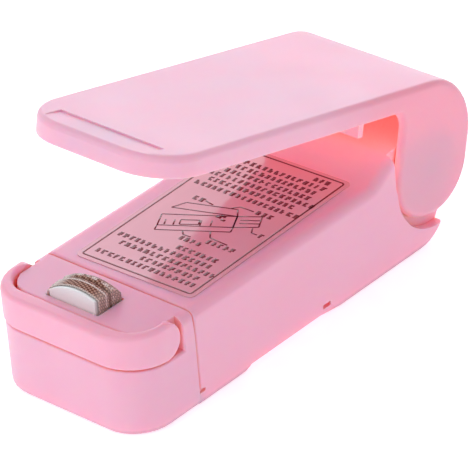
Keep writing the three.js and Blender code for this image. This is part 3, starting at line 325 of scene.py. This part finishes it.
def clear_film(settings):
    """Clear polyester film bonded over the case: glassy, so it mirrors the lever, and never quite flat."""
    material, shader = fresh("printed_polyester_film", {
        "IOR": 1.58, "Subsurface Weight": 0.2, "Subsurface Radius": (1.0, 0.32, 0.26),
        "Subsurface Scale": 1 * MM})
    place = put(material, "TexCoord", out="Object")
    # Glue under the film leaves shallow swells some 7 mm across
    swell = put(material, "TexNoise", {"Scale": 1 / (7 * MM), "Detail": 1.0, "Vector": place})
    bump = put(material, "Bump", {"Strength": 0.5, "Distance": 0.02 * MM, "Height": swell})
    haze = put(material, "TexNoise", {"Scale": 1 / (3 * MM), "Detail": 4.0, "Vector": place})
    sheen = put(material, "MapRange", {"To Min": 0.04, "To Max": 0.12, "Value": haze})
    depth = put(material, "MapRange", {"To Min": 0.97, "To Max": 1.03, "Value": swell})
    tone = put(material, "HueSaturation", {"Color": (*settings.film, 1), "Value": depth})
    fill(shader, {"Base Color": tone, "Roughness": sheen, "Normal": bump})
    return material


def printed_ink(settings):
    """Screen-printed ink, thin and a little uneven, under the film's own gloss."""
    material, shader = fresh("screen_printed_ink", {"IOR": 1.58, "Specular IOR Level": 0.22})
    place = put(material, "TexCoord", out="Object")
    # The mesh of the screen lets ink through unevenly, drawn at 0.3 mm
    speck = put(material, "TexNoise", {"Scale": 1 / (0.3 * MM), "Detail": 2.0, "Vector": place})
    paler = scaled(settings.ink, 1.4, 0.01)
    tint = put(material, "Mix", {"data_type": "RGBA", 0: speck, 6: (*settings.ink, 1), 7: (*paler, 1)}, 2)
    sheen = put(material, "MapRange", {"To Min": 0.05, "To Max": 0.16, "Value": speck})
    fill(shader, {"Base Color": tint, "Roughness": sheen})
    return material


def heat_proof_resin(heater):
    """Glass-filled white resin, moulded: bluish white, near matt, with a faint fibre grain."""
    material, shader = fresh("moulded_white_resin", {
        "IOR": 1.55, "Subsurface Weight": 0.15, "Subsurface Radius": (1.0, 0.9, 0.9),
        "Subsurface Scale": 0.6 * MM})
    place = put(material, "TexCoord", out="Object")
    # Fibres lie under the skin, some 0.4 mm apart
    fibre = put(material, "TexNoise", {"Scale": 1 / (0.4 * MM), "Detail": 3.0, "Vector": place})
    grey = scaled(heater.ceramic, 0.92)
    tint = put(material, "Mix", {"data_type": "RGBA", 0: fibre, 6: (*grey, 1), 7: (*heater.ceramic, 1)}, 2)
    bump = put(material, "Bump", {"Strength": 0.4, "Distance": 0.01 * MM, "Height": fibre})
    sheen = put(material, "MapRange", {"To Min": 0.32, "To Max": 0.5, "Value": fibre})
    fill(shader, {"Base Color": tint, "Roughness": sheen, "Normal": bump})
    return material


def glass_cloth(heater):
    """Coated glass cloth, plain weave: brown and cream threads over and under, with a slight shine."""
    material, shader = fresh("coated_glass_cloth", {
        "IOR": 1.45, "Sheen Weight": 0.1, "Sheen Roughness": 0.4})
    # The cover's own map counts millimetres, so a thread turns over every spacing
    weave = put(material, "UVMap", {"uv_map": "cloth"})
    across, along = put(material, "SeparateXYZ", {"Vector": weave}).node.outputs[:2]
    rate = math.pi / (heater.thread / MM)
    turned = put(material, "Mapping", {"Rotation": (0, 0, heater.slant), "Vector": weave})
    waves = []
    for axis in put(material, "SeparateXYZ", {"Vector": turned}).node.outputs[:2]:
        phase = put(material, "Math", {"operation": "MULTIPLY", 0: axis, 1: rate})
        waves.append(put(material, "Math", {"operation": "SINE", 0: phase}))
    crossing = put(material, "Math", {"operation": "MULTIPLY", 0: waves[0], 1: waves[1]})
    over = put(material, "MapRange", {"From Min": -0.25, "From Max": 0.25, "Value": crossing})
    height = put(material, "Math", {"operation": "ABSOLUTE", 0: crossing})
    # Heat has darkened the brown threads in patches of about a millimetre
    scorch = put(material, "TexNoise", {"Scale": 0.9, "Detail": 3.0, "Vector": weave})
    dark = scaled(heater.brown, 0.42)
    thread = put(material, "Mix", {"data_type": "RGBA", 0: scorch, 6: (*dark, 1), 7: (*heater.brown, 1)}, 2)
    mixed = put(material, "Mix", {"data_type": "RGBA", 0: over, 6: thread, 7: (*heater.cream, 1)}, 2)
    # Paler threads along the front ridge's crest and over part of the rear one's, partly rubbed-bare coating
    # and partly a painted highlight; the ends and the hem are paler too
    patchy = put(material, "MapRange", {"From Min": 0.4, "From Max": 0.55, "Value": scorch})
    rear = put(material, "Math", {"operation": "COMPARE", 0: along, 1: 3.9, 2: 0.5})
    worn = put(material, "Math", {"operation": "COMPARE", 0: along, 1: 1.85, 2: 0.17})
    for part in (
            put(material, "Math", {"operation": "MULTIPLY", 0: rear, 1: patchy}),
            put(material, "MapRange", {"From Min": 0.35, "From Max": 0.2, "To Max": 0.8, "Value": along}),
            put(material, "MapRange", {"From Min": -2.2, "From Max": -4.6, "Value": across}),
            put(material, "MapRange", {"From Min": 3.6, "From Max": 5.6, "To Max": 0.4, "Value": across})):
        worn = put(material, "Math", {"operation": "MAXIMUM", 0: worn, 1: part})
    share = put(material, "Math", {"operation": "MULTIPLY", 0: worn, 1: 0.85})
    worn_and_highlit = put(material, "Mix", {"data_type": "RGBA", 0: share, 6: mixed, 7: (*heater.pale_wear_and_highlight, 1)}, 2)
    # Painted shade darkens the valley between the ridges; the gaps between the threads are darker too
    valley = put(material, "Math", {"operation": "COMPARE", 0: along, 1: 2.75, 2: 0.28})
    valley_painted_shade = put(material, "Math", {"operation": "MULTIPLY", 0: valley, 1: 0.6})
    darkened = put(material, "Mix", {"data_type": "RGBA", 0: valley_painted_shade, 6: worn_and_highlit, 7: (*dark, 1)}, 2)
    gap = put(material, "MapRange", {"From Min": 0.0, "From Max": 0.2, "Value": height})
    shade = put(material, "Mix", {"data_type": "RGBA", 0: gap, 6: (*dark, 1), 7: darkened}, 2)
    bump = put(material, "Bump", {"Strength": 0.8, "Distance": 0.06 * MM, "Height": height})
    sheen = put(material, "MapRange", {"To Min": 0.55, "To Max": 0.34, "Value": over})
    fill(shader, {"Base Color": shade, "Roughness": sheen, "Normal": bump})
    return material


def worked_metal(name, tone, along, roughness, spacing):
    """Metal drawn, rolled or plated: fine lines the way it was worked, and a duller touch in places."""
    material, shader = fresh(name, {"Metallic": 1.0})
    place = put(material, "TexCoord", out="Object")
    # The lines run some 16 times as long as they are apart
    scale = tuple(0.06 if i == along else 1 for i in range(3))
    lines = put(material, "Mapping", {"Scale": scale, "Vector": place})
    brush = put(material, "TexNoise", {"Scale": 1 / (spacing * MM), "Detail": 3.0, "Vector": lines})
    # Touch and damp leave dull patches some 4 mm across
    dull = put(material, "TexNoise", {"Scale": 1 / (4 * MM), "Detail": 2.0, "Vector": place})
    darker = scaled(tone, 0.72)
    tint = put(material, "Mix", {"data_type": "RGBA", 0: dull, 6: (*darker, 1), 7: (*tone, 1)}, 2)
    bump = put(material, "Bump", {"Strength": 0.4, "Distance": 0.01 * MM, "Height": brush})
    sheen = put(material, "MapRange", {
        "To Min": roughness - 0.08, "To Max": roughness + 0.1, "Value": brush})
    fill(shader, {"Base Color": tint, "Roughness": sheen, "Normal": bump})
    return material


def dull_plastic(name, code, roughness, grain, depth, sockets=None):
    """Moulded plastic or rubber in one colour: low sheen, a grain from the tool, slight unevenness."""
    material, shader = fresh(name, {"IOR": 1.5, **(sockets or {})})
    place = put(material, "TexCoord", out="Object")
    tone = linear(code)
    paler = scaled(tone, 1.25, 0.004)
    speck = put(material, "TexNoise", {"Scale": 1 / (grain * MM), "Detail": 3.0, "Vector": place})
    patch = put(material, "TexNoise", {"Scale": 1 / (5 * MM), "Detail": 2.0, "Vector": place})
    tint = put(material, "Mix", {"data_type": "RGBA", 0: patch, 6: (*tone, 1), 7: (*paler, 1)}, 2)
    bump = put(material, "Bump", {"Strength": 0.5, "Distance": depth * MM, "Height": speck})
    sheen = put(material, "MapRange", {
        "To Min": roughness - 0.06, "To Max": roughness + 0.08, "Value": patch})
    fill(shader, {"Base Color": tint, "Roughness": sheen, "Normal": bump})
    return material


def cell_finish(node):
    """A dry cell's can: a plain two-tone shrink sleeve, open at both ends to show the plated steel."""
    low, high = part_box(node)
    # The cells lie head to tail, and the paler band is at the button's end
    ends = (high.y, low.y) if node == "battery_right" else (low.y, high.y)
    material, shader = fresh(f"shrink_sleeve_{node}", {"IOR": 1.5})
    place = put(material, "TexCoord", out="Object")
    along = put(material, "SeparateXYZ", {"Vector": place}, "Y")
    share = put(material, "MapRange", {"From Min": ends[0], "From Max": ends[1], "Value": along})
    band = put(material, "Math", {"operation": "GREATER_THAN", 0: share, 1: 0.7})
    dark, copper, steel = ((*linear(code), 1) for code in ("#2F3B4B", "#C08A5C", "#C9CBCF"))
    sleeve = put(material, "Mix", {"data_type": "RGBA", 0: band, 6: dark, 7: copper}, 2)
    # The sleeve leaves the last 3% of the can bare at each end
    near = put(material, "Math", {"operation": "COMPARE", 0: share, 1: 0.5, 2: 0.468})
    tint = put(material, "Mix", {"data_type": "RGBA", 0: near, 6: steel, 7: sleeve}, 2)
    bare = put(material, "Math", {"operation": "SUBTRACT", 0: 1.0, 1: near})
    wrinkle = put(material, "TexNoise", {"Scale": 1 / (1.5 * MM), "Detail": 2.0, "Vector": place})
    bump = put(material, "Bump", {"Strength": 0.3, "Distance": 0.01 * MM, "Height": wrinkle})
    sheen = put(material, "MapRange", {"To Min": 0.22, "To Max": 0.36, "Value": wrinkle})
    fill(shader, {"Base Color": tint, "Metallic": bare, "Roughness": sheen, "Normal": bump})
    return material


# Shapes

def settled(work, name, material, body, node=None):
    """Makes a finished piece of a mesh in work, has it ride on its body, and hides the CAD node it is drawn
    in place of.
    """
    bmesh.ops.recalc_face_normals(work, faces=work.faces)
    mesh = bpy.data.meshes.new(name)
    work.to_mesh(mesh)
    work.free()
    mesh.materials.append(material)
    mesh.shade_smooth()
    piece = bpy.data.objects.new(name, mesh)
    bpy.context.scene.collection.objects.link(piece)
    if body:
        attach(piece, body)
    if node:
        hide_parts(node)
    return piece


def inside(point, zone):
    """Tells whether a point, in millimetres, lies in a zone that is the same left and right."""
    return all(low < place < high for place, (low, high) in zip((abs(point.x), point.y, point.z), zone))


def parting(point):
    """Tells whether a point lies on a parting line, over the top or on the skin of the sides."""
    across, ahead = abs(point.x) - CORNER_ACROSS, CORNER_FRONT - point.y
    on_skin = math.hypot(max(across, 0), max(ahead, 0)) > SKIN_RADIUS
    return inside(point, TOP_SEAM) or (on_skin and inside(point, SIDE_SEAM))


def soften(work, radius, chosen):
    """Gives the chosen sharp outward edges a broader radius than the rest."""
    edges = [
        e for e in work.edges if len(e.link_faces) == 2 and e.is_convex
        and e.calc_face_angle() > math.radians(60) and all(chosen(v.co / MM) for v in e.verts)]
    bmesh.ops.bevel(
        work, geom=edges, offset=radius, offset_type="OFFSET", affect="EDGES", segments=4, profile=0.5,
        material=-1, clamp_overlap=False)


def moulding(node, name, material, body, edge=0.0, soft=()):
    """Copies a CAD node, merges its loose triangles and gives it smooth rounds and small edge radii."""
    work = bmesh.new()
    work.from_mesh(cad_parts[node].data)
    bmesh.ops.remove_doubles(work, verts=work.verts, dist=0.002 * MM)
    bmesh.ops.dissolve_limit(work, angle_limit=math.radians(0.4), verts=work.verts, edges=work.edges)
    work.normal_update()
    for radius, chosen in soft:
        soften(work, radius, chosen)
    piece = settled(work, name, material, body, node)
    if edge:
        rounder = piece.modifiers.new("edge_radius", "BEVEL")
        rounder.width = edge
        rounder.segments = 2
        rounder.limit_method = "ANGLE"
        rounder.angle_limit = math.radians(40)
        rounder.use_clamp_overlap = True
    # Broad flat faces stay flat beside smooth rounds
    piece.data.set_sharp_from_angle(angle=math.radians(32))
    weighted = piece.modifiers.new("flat_faces", "WEIGHTED_NORMAL")
    weighted.keep_sharp = True
    weighted.weight = 80


def wire_piece(strands, radius, name, material, body, node=None):
    """Makes round wires along rows of points, with closed ends."""
    curve = bpy.data.curves.new(name, "CURVE")
    curve.dimensions = "3D"
    curve.bevel_depth = radius
    curve.bevel_resolution = 3
    curve.use_fill_caps = True
    for points in strands:
        spline = curve.splines.new("POLY")
        spline.points.add(len(points) - 1)
        for knot, point in zip(spline.points, points):
            knot.co = (*point, 1)
    holder = bpy.data.objects.new(f"{name}_path", curve)
    bpy.context.scene.collection.objects.link(holder)
    bpy.context.view_layer.update()
    mesh = bpy.data.meshes.new_from_object(holder.evaluated_get(bpy.context.evaluated_depsgraph_get()))
    bpy.data.objects.remove(holder)
    work = bmesh.new()
    work.from_mesh(mesh)
    bmesh.ops.remove_doubles(work, verts=work.verts, dist=0.001 * MM)
    piece = settled(work, name, material, body, node)
    piece.data.set_sharp_from_angle(angle=math.radians(50))
    return piece


def coil(first_radius, last_radius, length, curls):
    """Points of a coil round +Z from its foot, whose radius may change on the way."""
    count = round(curls * COIL_STEPS)
    points = []
    for i in range(count + 1):
        share = i / count
        radius = first_radius + (last_radius - first_radius) * share
        angle = 2 * math.pi * curls * share
        points.append(Vector((radius * math.cos(angle), radius * math.sin(angle), length * share)))
    return points


def in_frame(x, from_nose, z):
    """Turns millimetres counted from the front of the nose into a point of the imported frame."""
    return Vector((x, from_nose - NOSE_TO_ORIGIN, z)) * MM


def bar(work, first, last, width, thick):
    """Adds a thin flat bar between two points of the ground plane."""
    start, end = Vector((*first, 0)), Vector((*last, 0))
    span = end - start
    turn = Matrix.Rotation(math.atan2(span.y, span.x), 4, "Z")
    place = Matrix.Translation((start + end) / 2 + Vector((0, 0, thick / 2)))
    sizes = Matrix.Diagonal((span.length, width, thick, 1))
    bmesh.ops.create_cube(work, size=1, matrix=place @ turn @ sizes)


def border_line(work, width, length, corner, line, thick):
    """Adds a closed rectangular line with rounded corners."""
    grid = bmesh.ops.create_grid(
        work, x_segments=1, y_segments=1, size=0.5, matrix=Matrix.Diagonal((width, length, 1, 1)))
    sheet = grid["verts"][0].link_faces[0]
    bmesh.ops.bevel(
        work, geom=list(sheet.verts), offset=corner, offset_type="OFFSET", affect="VERTICES", segments=4,
        profile=0.5, material=-1)
    sheet = next(f for f in work.faces if len(f.verts) > 4)
    band = bmesh.ops.inset_region(work, faces=[sheet], thickness=line, use_boundary=True)["faces"]
    bmesh.ops.delete(work, geom=[sheet], context="FACES")
    raised = bmesh.ops.extrude_face_region(work, geom=band, use_keep_orig=True)
    lifted = [g for g in raised["geom"] if isinstance(g, bmesh.types.BMVert)]
    bmesh.ops.translate(work, verts=lifted, vec=(0, 0, thick))


def dash_row(work, draw, along, start, end, height, thick):
    """Adds one row of plain blocks, each of three uneven dashes, as greeked print is."""
    block_widths, gaps, indents, runs = (0.8, 1.1), (0.3, 0.42), (0, 0.18), (0.45, 1.2)
    least_block, levels = 0.4, (-0.42, 0.0, 0.42)
    place = start
    while place < end - least_block:
        block = draw.uniform(*block_widths)
        for level in levels:
            inner = place + draw.uniform(*indents)
            stop = min(place + block, inner + draw.uniform(*runs))
            bar(work, (inner, along + level), (stop, along + level), height, thick)
        place += block + draw.uniform(*gaps)


def wound_lever_spring(material):
    """Makes the torsion spring on the hinge pin: a foot in the case, a coil, a leg under the lever."""
    # The pin's place, the wire and its coil, and the leg's tip counted from the pin, in millimetres
    pin_y, pin_z, wire_radius, coil_radius, curls, length = 78.0, 14.8, 0.4, 2.6, 3.75, 5.0625
    foot_drop, tip, run_out, bend_reach = 4.4, Vector((2.53125, -5.738, 15.842)), 1.2, 1.5
    turns = [Vector((p.z - length / 2, -p.x, -p.y)) for p in coil(coil_radius, coil_radius, length, curls)]
    foot = Vector((-length / 2, -coil_radius, -foot_drop))
    # The leg leaves the coil on its tangent and bends up to the lever over about 3 mm
    corner = turns[-1] + Vector((0, -run_out, 0))
    rising = corner + (tip - corner).normalized() * bend_reach
    bend = []
    for share in (0.2, 0.4, 0.6, 0.8, 1.0):
        bend.append(turns[-1].lerp(corner, share).lerp(corner.lerp(rising, share), share))
    path = [in_frame(p.x, pin_y + p.y, pin_z + p.z) for p in (foot, *turns, *bend, tip)]
    spring = wire_piece(
        [path], wire_radius * MM, "return_spring_fine", material, None, "return_spring")
    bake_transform(spring)


def woven_cover(heater, material):
    """Makes the head's cover as real crossing threads over two ridges, turned down at both ends."""
    # The crown is round about an axis under the head; the cover lies just over it and hangs to its foot
    crown_radius, crown_axis, over_crown, foot = 11.0, 10.7, 0.2, 18.2
    # Half the crown's length, how far the turned-down ends stand out, and the radius they turn on
    shoulder, out, bend = 5.2, 0.42, 0.5
    # Where the cover starts behind the nose's front, how deep it is, how far threads swell, how thick it is
    front, depth, swell, wall = 5.68, 5.4, 0.03, 0.16
    # How far and over what drop the left end flares, and how far and how often both ends ripple
    flare_reach, flare_drop, ripple, ripple_rate = 0.2, 2.0, 0.06, 9.0
    # The ridges, from front to rear: share of the depth, and rise over the crown
    ridges = (
        (0, 0), (0.16, 0.15), (0.33, 0.25), (0.45, 0.175), (0.53, -0.2), (0.6, 0.12), (0.71, 0.2),
        (0.88, -0.44), (1, -1.1))
    # Each thread is drawn with three faces
    pitch, faces_per_thread = heater.thread / MM, 3

    def crest(across):
        return crown_axis + math.sqrt(crown_radius * crown_radius - (HEAD_CENTRE + across) ** 2)

    def rise(share):
        for (begin, low), (end, high) in zip(ridges, ridges[1:]):
            if share <= end:
                part = (share - begin) / (end - begin)
                return low + (high - low) * part * part * (3 - 2 * part)
        return ridges[-1][1]

    left, right = (shoulder + bend + crest(side * shoulder) - bend - foot for side in (-1, 1))
    work = bmesh.new()
    columns, rows = (round(size / pitch) * faces_per_thread for size in (left + right, depth))
    bmesh.ops.create_grid(work, x_segments=columns, y_segments=rows, size=0.5)
    bmesh.ops.translate(work, verts=work.verts, vec=(0.5, 0.5, 0))
    chart = work.loops.layers.uv.new("cloth")
    for face in work.faces:
        for loop in face.loops:
            loop[chart].uv = (loop.vert.co.x * (left + right) - left, loop.vert.co.y * depth)
    for vert in work.verts:
        # Along the thread: over the crown, round the shoulder, then straight down
        distance, share = vert.co.x * (left + right) - left, vert.co.y
        side = 1 if distance >= 0 else -1
        fall = max(0.0, abs(distance) - shoulder)
        turn = min(fall / bend, 1.0) * math.pi / 2
        across = max(-shoulder, min(shoulder, distance))
        warp = distance * math.cos(heater.slant) - share * depth * math.sin(heater.slant)
        weft = distance * math.sin(heater.slant) + share * depth * math.cos(heater.slant)
        thread = swell * math.sin(math.pi * warp / pitch) * math.sin(math.pi * weft / pitch)
        # Both ends hang a little loose; the left one flares out to the window's edge
        flare = flare_reach * min(1.0, fall / flare_drop) if side < 0 else 0.0
        loose = flare + ripple * math.sin(share * ripple_rate) * min(1.0, fall)
        height = crest(across) - bend * (1 - math.cos(turn)) - max(0.0, fall - bend)
        vert.co = in_frame(
            HEAD_CENTRE + across + side * (out * math.sin(turn) + loose + thread * math.sin(turn)),
            front + depth * share, height + over_crown + rise(share) + thread * math.cos(turn))
    piece = settled(work, "cover_cloth", material, "heater_head", "heater_cloth")
    solid = piece.modifiers.new("cloth_thickness", "SOLIDIFY")
    solid.thickness = wall * MM
    solid.offset = -1


def frayed_ends(heater, material):
    """Makes the loose thread ends at the cover's front left corner, which close the gap by the holder."""
    draw = random.Random(heater.seed)
    count, sway, first, last, thread_radius = 20, 0.06, 5.0, 5.95, 0.07
    # Down the thread: place across, height, and how far a leaning thread strays back and up
    course = (
        (-6.5, 19.55, 0, 0), (-6.62, 19.3, 1, 0), (-6.78, 18.95, -1, 0), (-6.92, 18.6, 2, 0),
        (-6.99, 18.2, 1, 3))
    strands = []
    for _ in range(count):
        lean, place = draw.uniform(-sway, sway), draw.uniform(first, last)
        strands.append([
            in_frame(x + lean, place + lean * back, z + lean * up) for x, z, back, up in course])
    wire_piece(strands, thread_radius * MM, "cover_fray", material, "heater_head")


# Operators

class SEALER_OT_case(bpy.types.Operator):
    """Dress the case, ring and door in moulded plastic"""

    bl_idname = "sealer.case"
    bl_label = "Case"

    def execute(self, context):
        case = context.scene.sealer_case
        pink = moulded_abs("moulded_pink_abs", case.pink, case.painted_crease_tone, None, case)
        # Painted light and shade: the lever's plastic is set lighter than the case's, with darker cheeks
        lever_abs_painted_lit = moulded_abs(
            "moulded_lever_abs_painted_lit", case.lever_pink_painted_lit, case.lever_painted_crease_tone, case.cheek_painted_shade, case)
        # The edges that are broader than the rest on each moulding
        seams = (case.seam_radius, parting)
        plate = (case.lip_radius * 0.5, lambda point: inside(point, PLATE_EDGE))
        lip = (case.lip_radius, lambda point: inside(point, RING_LIP))
        rim = (case.seam_radius * 0.9, lambda point: inside(point, CHEEK_RIM))
        for node, name, material, body, slot, soft in (
                ("base_shell", "base_moulding", pink, "base", "base", (seams,)),
                ("nose_cover", "nose_moulding", pink, "base", "base", (seams, plate)),
                ("lock_ring", "ring_moulding", pink, "lock_ring", "base", (seams, lip)),
                ("battery_door", "door_moulding", pink, "battery_door", "base", ()),
                ("lever_shell", "lever_moulding", lever_abs_painted_lit, "lever", "lever", (rim,))):
            moulding(node, name, material, body, case.edge_radius, soft)
        return {"FINISHED"}


class SEALER_OT_label(bpy.types.Operator):
    """Lay the printed film on the case"""

    bl_idname = "sealer.label"
    bl_label = "Printed film"

    def execute(self, context):
        settings = context.scene.sealer_print
        half_width, length, turn, thick, film_edge = 12.9, 43.65, math.radians(1.8), 0.02, 0.04
        film = clear_film(settings)
        moulding("label_film", "label_film_sheet", film, "base", film_edge * MM)
        inset, corner = settings.border_inset / MM, settings.border_corner / MM
        line, dash = settings.line_width / MM, settings.dash_height / MM
        # The drawing's lines are a little finer than the border
        fine_line = line * 0.8
        draw = random.Random(settings.seed)
        work = bmesh.new()
        border_line(work, 2 * (half_width - inset), length - 2 * inset, corner, line, thick)
        for along, start, end in LABEL_ROWS + LEADER_ROWS:
            dash_row(work, draw, along, start, end, dash, thick)
        for stroke in DRAWN_LINES:
            for first, last in zip(stroke, stroke[1:]):
                bar(work, first, last, fine_line, thick)
        for across, along, width, height in DRAWN_CELLS:
            bar(work, (across, along), (across + width, along), height, thick)
        low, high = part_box("label_film")
        middle = (low + high) / 2
        place = Matrix.Translation((middle.x, middle.y, high.z))
        place = place @ Matrix.Rotation(turn, 4, "Z") @ Matrix.Scale(MM, 4)
        bmesh.ops.transform(work, matrix=place, verts=work.verts)
        settled(work, "label_print", printed_ink(settings), "base")
        return {"FINISHED"}


class SEALER_OT_heater(bpy.types.Operator):
    """Build the heated head with its woven cover"""

    bl_idname = "sealer.heater"
    bl_label = "Heated head"

    def execute(self, context):
        heater = context.scene.sealer_heater
        metal = context.scene.sealer_metal
        resin, edge = heat_proof_resin(heater), 0.08
        moulding("heater_holder", "holder_moulding", resin, "heater_head", edge * MM)
        nickel = worked_metal("rolled_heating_strip", metal.nickel, along=0, roughness=0.3, spacing=0.2)
        for rank in ("front", "rear"):
            moulding(f"heater_ribbon_{rank}", f"heating_strip_{rank}", nickel, "heater_head")
        woven_cover(heater, glass_cloth(heater))
        loose = dull_plastic("frayed_glass_thread", "#E4D9D2", roughness=0.5, grain=0.2, depth=0.01)
        frayed_ends(heater, loose)
        return {"FINISHED"}


class SEALER_OT_inner(bpy.types.Operator):
    """Finish the springs, cells, contacts and small parts inside"""

    bl_idname = "sealer.inner"
    bl_label = "Inner parts"

    def execute(self, context):
        metal = context.scene.sealer_metal
        steel = worked_metal("drawn_spring_steel", metal.steel, along=0, roughness=0.3, spacing=0.15)
        nickel = worked_metal("plated_contact_strip", metal.nickel, along=2, roughness=0.28, spacing=0.2)
        brass = worked_metal("rolled_brass_strip", metal.brass, along=0, roughness=0.3, spacing=0.2)
        black = dull_plastic("moulded_black_resin", "#29292B", roughness=0.5, grain=0.3, depth=0.01)
        silicone = dull_plastic("pressed_silicone", "#D6D1CF", roughness=0.62, grain=0.25, depth=0.012)
        skin = {"roughness": 0.42, "grain": 0.4, "depth": 0.006}
        red_wire = dull_plastic("extruded_red_insulation", "#AF1F29", **skin)
        black_wire = dull_plastic("extruded_black_insulation", "#232324", **skin)
        for node, material, body, slot, edge in (
                ("heater_bracket", black, "base", "bracket", 0.08),
                ("screw_left", steel, "base", "steel", 0.05),
                ("screw_right", steel, "base", "steel", 0.05),
                ("hinge_pin", steel, "base", "steel", 0.05),
                ("switch_leaf_lower", brass, "base", "brass", 0.03),
                ("switch_leaf_upper", brass, "base", "brass", 0.03),
                ("contact_plate_left", nickel, "base", "strip", 0.05),
                ("contact_plate_right", nickel, "base", "strip", 0.05),
                ("contact_bridge", nickel, "base", "strip", 0.05),
                ("lead_wire_left", red_wire, "base", "red", 0),
                ("lead_wire_right", black_wire, "base", "black", 0),
                ("press_pad", silicone, "lever", "pad", 0.15),
                ("battery_left", cell_finish("battery_left"), "base", "cell", 0.05),
                ("battery_right", cell_finish("battery_right"), "base", "cell", 0.05)):
            moulding(node, f"{node}_fine", material, body, edge * MM)
        # The two springs that hold the head up stand on the bracket
        apart, from_nose, seat, radius, length, curls, wire = 3, 8.1, 5.5, 1.5, 9.2, 5.5, 0.175
        for side, node in ((-1, "heater_spring_left"), (1, "heater_spring_right")):
            foot = in_frame(HEAD_CENTRE + apart * side, from_nose, seat)
            path = [foot + point * MM for point in coil(radius, radius, length, curls)]
            spring = wire_piece([path], wire * MM, f"{node}_fine", steel, None, node)
            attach(spring, "base")
            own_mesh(spring)
        # The two contact springs narrow from their strip to the cell's end
        level, wide, narrow, length, curls, wire = 9.85, 3.1, 1.7, 3.2, 3.5, 0.25
        for node, x, start, way in (
                ("contact_spring_front", -7.15, 17.35, 1), ("contact_spring_rear", 7.15, 70.85, -1)):
            turns = coil(wide, narrow, length, curls)
            path = [in_frame(x + p.x, start + way * p.z, level + p.y) for p in turns]
            wire_piece([path], wire * MM, f"{node}_fine", nickel, "base", node)
        wound_lever_spring(steel)
        return {"FINISHED"}


class SEALER_OT_stage(bpy.types.Operator):
    """Set the floor, the soft lights and the camera"""

    bl_idname = "sealer.stage"
    bl_label = "Stage"

    def execute(self, context):
        stage = context.scene.sealer_stage
        work = bmesh.new()
        bmesh.ops.create_grid(work, x_segments=2, y_segments=2, size=2.0)
        acrylic = dull_plastic(
            "lit_acrylic_table", "#E6E6E8", roughness=0.7, grain=2.0, depth=0.02,
            sockets={"Emission Color": (*stage.floor, 1), "Emission Strength": stage.table})
        floor = settled(work, "floor", acrylic, None)
        # The three soft lights all face the sealer's lower middle
        lit = Vector((0, 0, 0.02))
        for name, power, size, place, tone in (
                ("key_light", stage.key_power, 0.5, (-0.16, -0.70, 0.42), "#FFFFFF"),
                ("roof_light", stage.roof_power, 0.5, (-0.1, -0.35, 0.65), "#FFFFFF"),
                ("wall_light", stage.wall_power, 0.75, (-0.56, 0.66, 0.34), "#EDF8FF")):
            lamp = bpy.data.lights.new(name, "AREA")
            lamp.energy = power
            lamp.size = size
            lamp.color = linear(tone)
            holder = bpy.data.objects.new(name, lamp)
            holder.location = place
            holder.rotation_euler = (lit - Vector(place)).to_track_quat("-Z", "Y").to_euler()
            context.scene.collection.objects.link(holder)
        # A light tent: bright walls all round, and a duller roof
        world = bpy.data.worlds.new("soft_sky")
        world.use_nodes = True
        back = next(n for n in world.node_tree.nodes if n.type == "BACKGROUND")
        height = put(world, "SeparateXYZ", {"Vector": put(world, "TexCoord", out="Generated")}, "Z")
        walls = put(world, "MapRange", {
            "From Min": 0.1, "From Max": 0.8, "To Min": stage.sky, "To Max": stage.zenith, "Value": height})
        fill(back, {"Color": (*linear("#FBFBFF"), 1), "Strength": walls})
        context.scene.world = world
        context.scene.view_settings.view_transform = "Standard"
        # Light that meets the plastic many times deepens the tint of the folds; the case's material paints
        # more of that tint in
        context.scene.cycles.diffuse_bounces = 10

        # The camera looks down over the nose's right corner, a little turned about its own axis
        lens = bpy.data.cameras.new("photo_camera")
        lens.lens = 296.39
        lens.sensor_width = 36
        lens.clip_start = 0.01
        camera = bpy.data.objects.new("photo_camera", lens)
        eye = Vector((391.43, -413.31, 360.67)) * MM
        aim = Vector((-25.43, 26.51, -10.19)) * MM
        roll = math.radians(-4.852)
        ahead = (aim - eye).normalized()
        right = ahead.cross(Vector((0, 0, 1))).normalized()
        up = right.cross(ahead)
        across = right * math.cos(roll) + up * math.sin(roll)
        upright = up * math.cos(roll) - right * math.sin(roll)
        turn = Matrix((across, upright, -ahead)).transposed()
        camera.matrix_world = Matrix.Translation(eye) @ turn.to_4x4()
        context.scene.collection.objects.link(camera)
        context.scene.camera = camera
        return {"FINISHED"}


class SEALER_PT_looks(bpy.types.Panel):
    """Shows what can be changed in each group of pieces, with the button that builds it"""

    bl_idname = "SEALER_PT_looks"
    bl_label = "Bag Sealer"
    bl_space_type = "VIEW_3D"
    bl_region_type = "UI"
    bl_category = "Bag Sealer"

    def draw(self, context):
        for group, operator in (
                ("sealer_case", "sealer.case"), ("sealer_print", "sealer.label"),
                ("sealer_heater", "sealer.heater"), ("sealer_metal", "sealer.inner"),
                ("sealer_stage", "sealer.stage")):
            box = self.layout.box()
            settings = getattr(context.scene, group)
            for name in settings.__annotations__:
                box.prop(settings, name)
            box.operator(operator)


GROUPS = {
    "sealer_case": SealerCase, "sealer_print": SealerPrint, "sealer_heater": SealerHeater,
    "sealer_metal": SealerMetal, "sealer_stage": SealerStage,
}
CLASSES = (
    *GROUPS.values(), SEALER_OT_stage, SEALER_OT_case, SEALER_OT_label, SEALER_OT_heater, SEALER_OT_inner,
    SEALER_PT_looks,
)


def register():
    for item in CLASSES:
        bpy.utils.register_class(item)
    for name, group in GROUPS.items():
        setattr(bpy.types.Scene, name, PointerProperty(type=group))


def unregister():
    for name in GROUPS:
        delattr(bpy.types.Scene, name)
    for item in reversed(CLASSES):
        bpy.utils.unregister_class(item)


def main():
    """Builds every piece in order."""
    register()
    bpy.ops.sealer.stage()
    bpy.ops.sealer.case()
    bpy.ops.sealer.label()
    bpy.ops.sealer.heater()
    bpy.ops.sealer.inner()


if __name__ == "__main__":
    main()
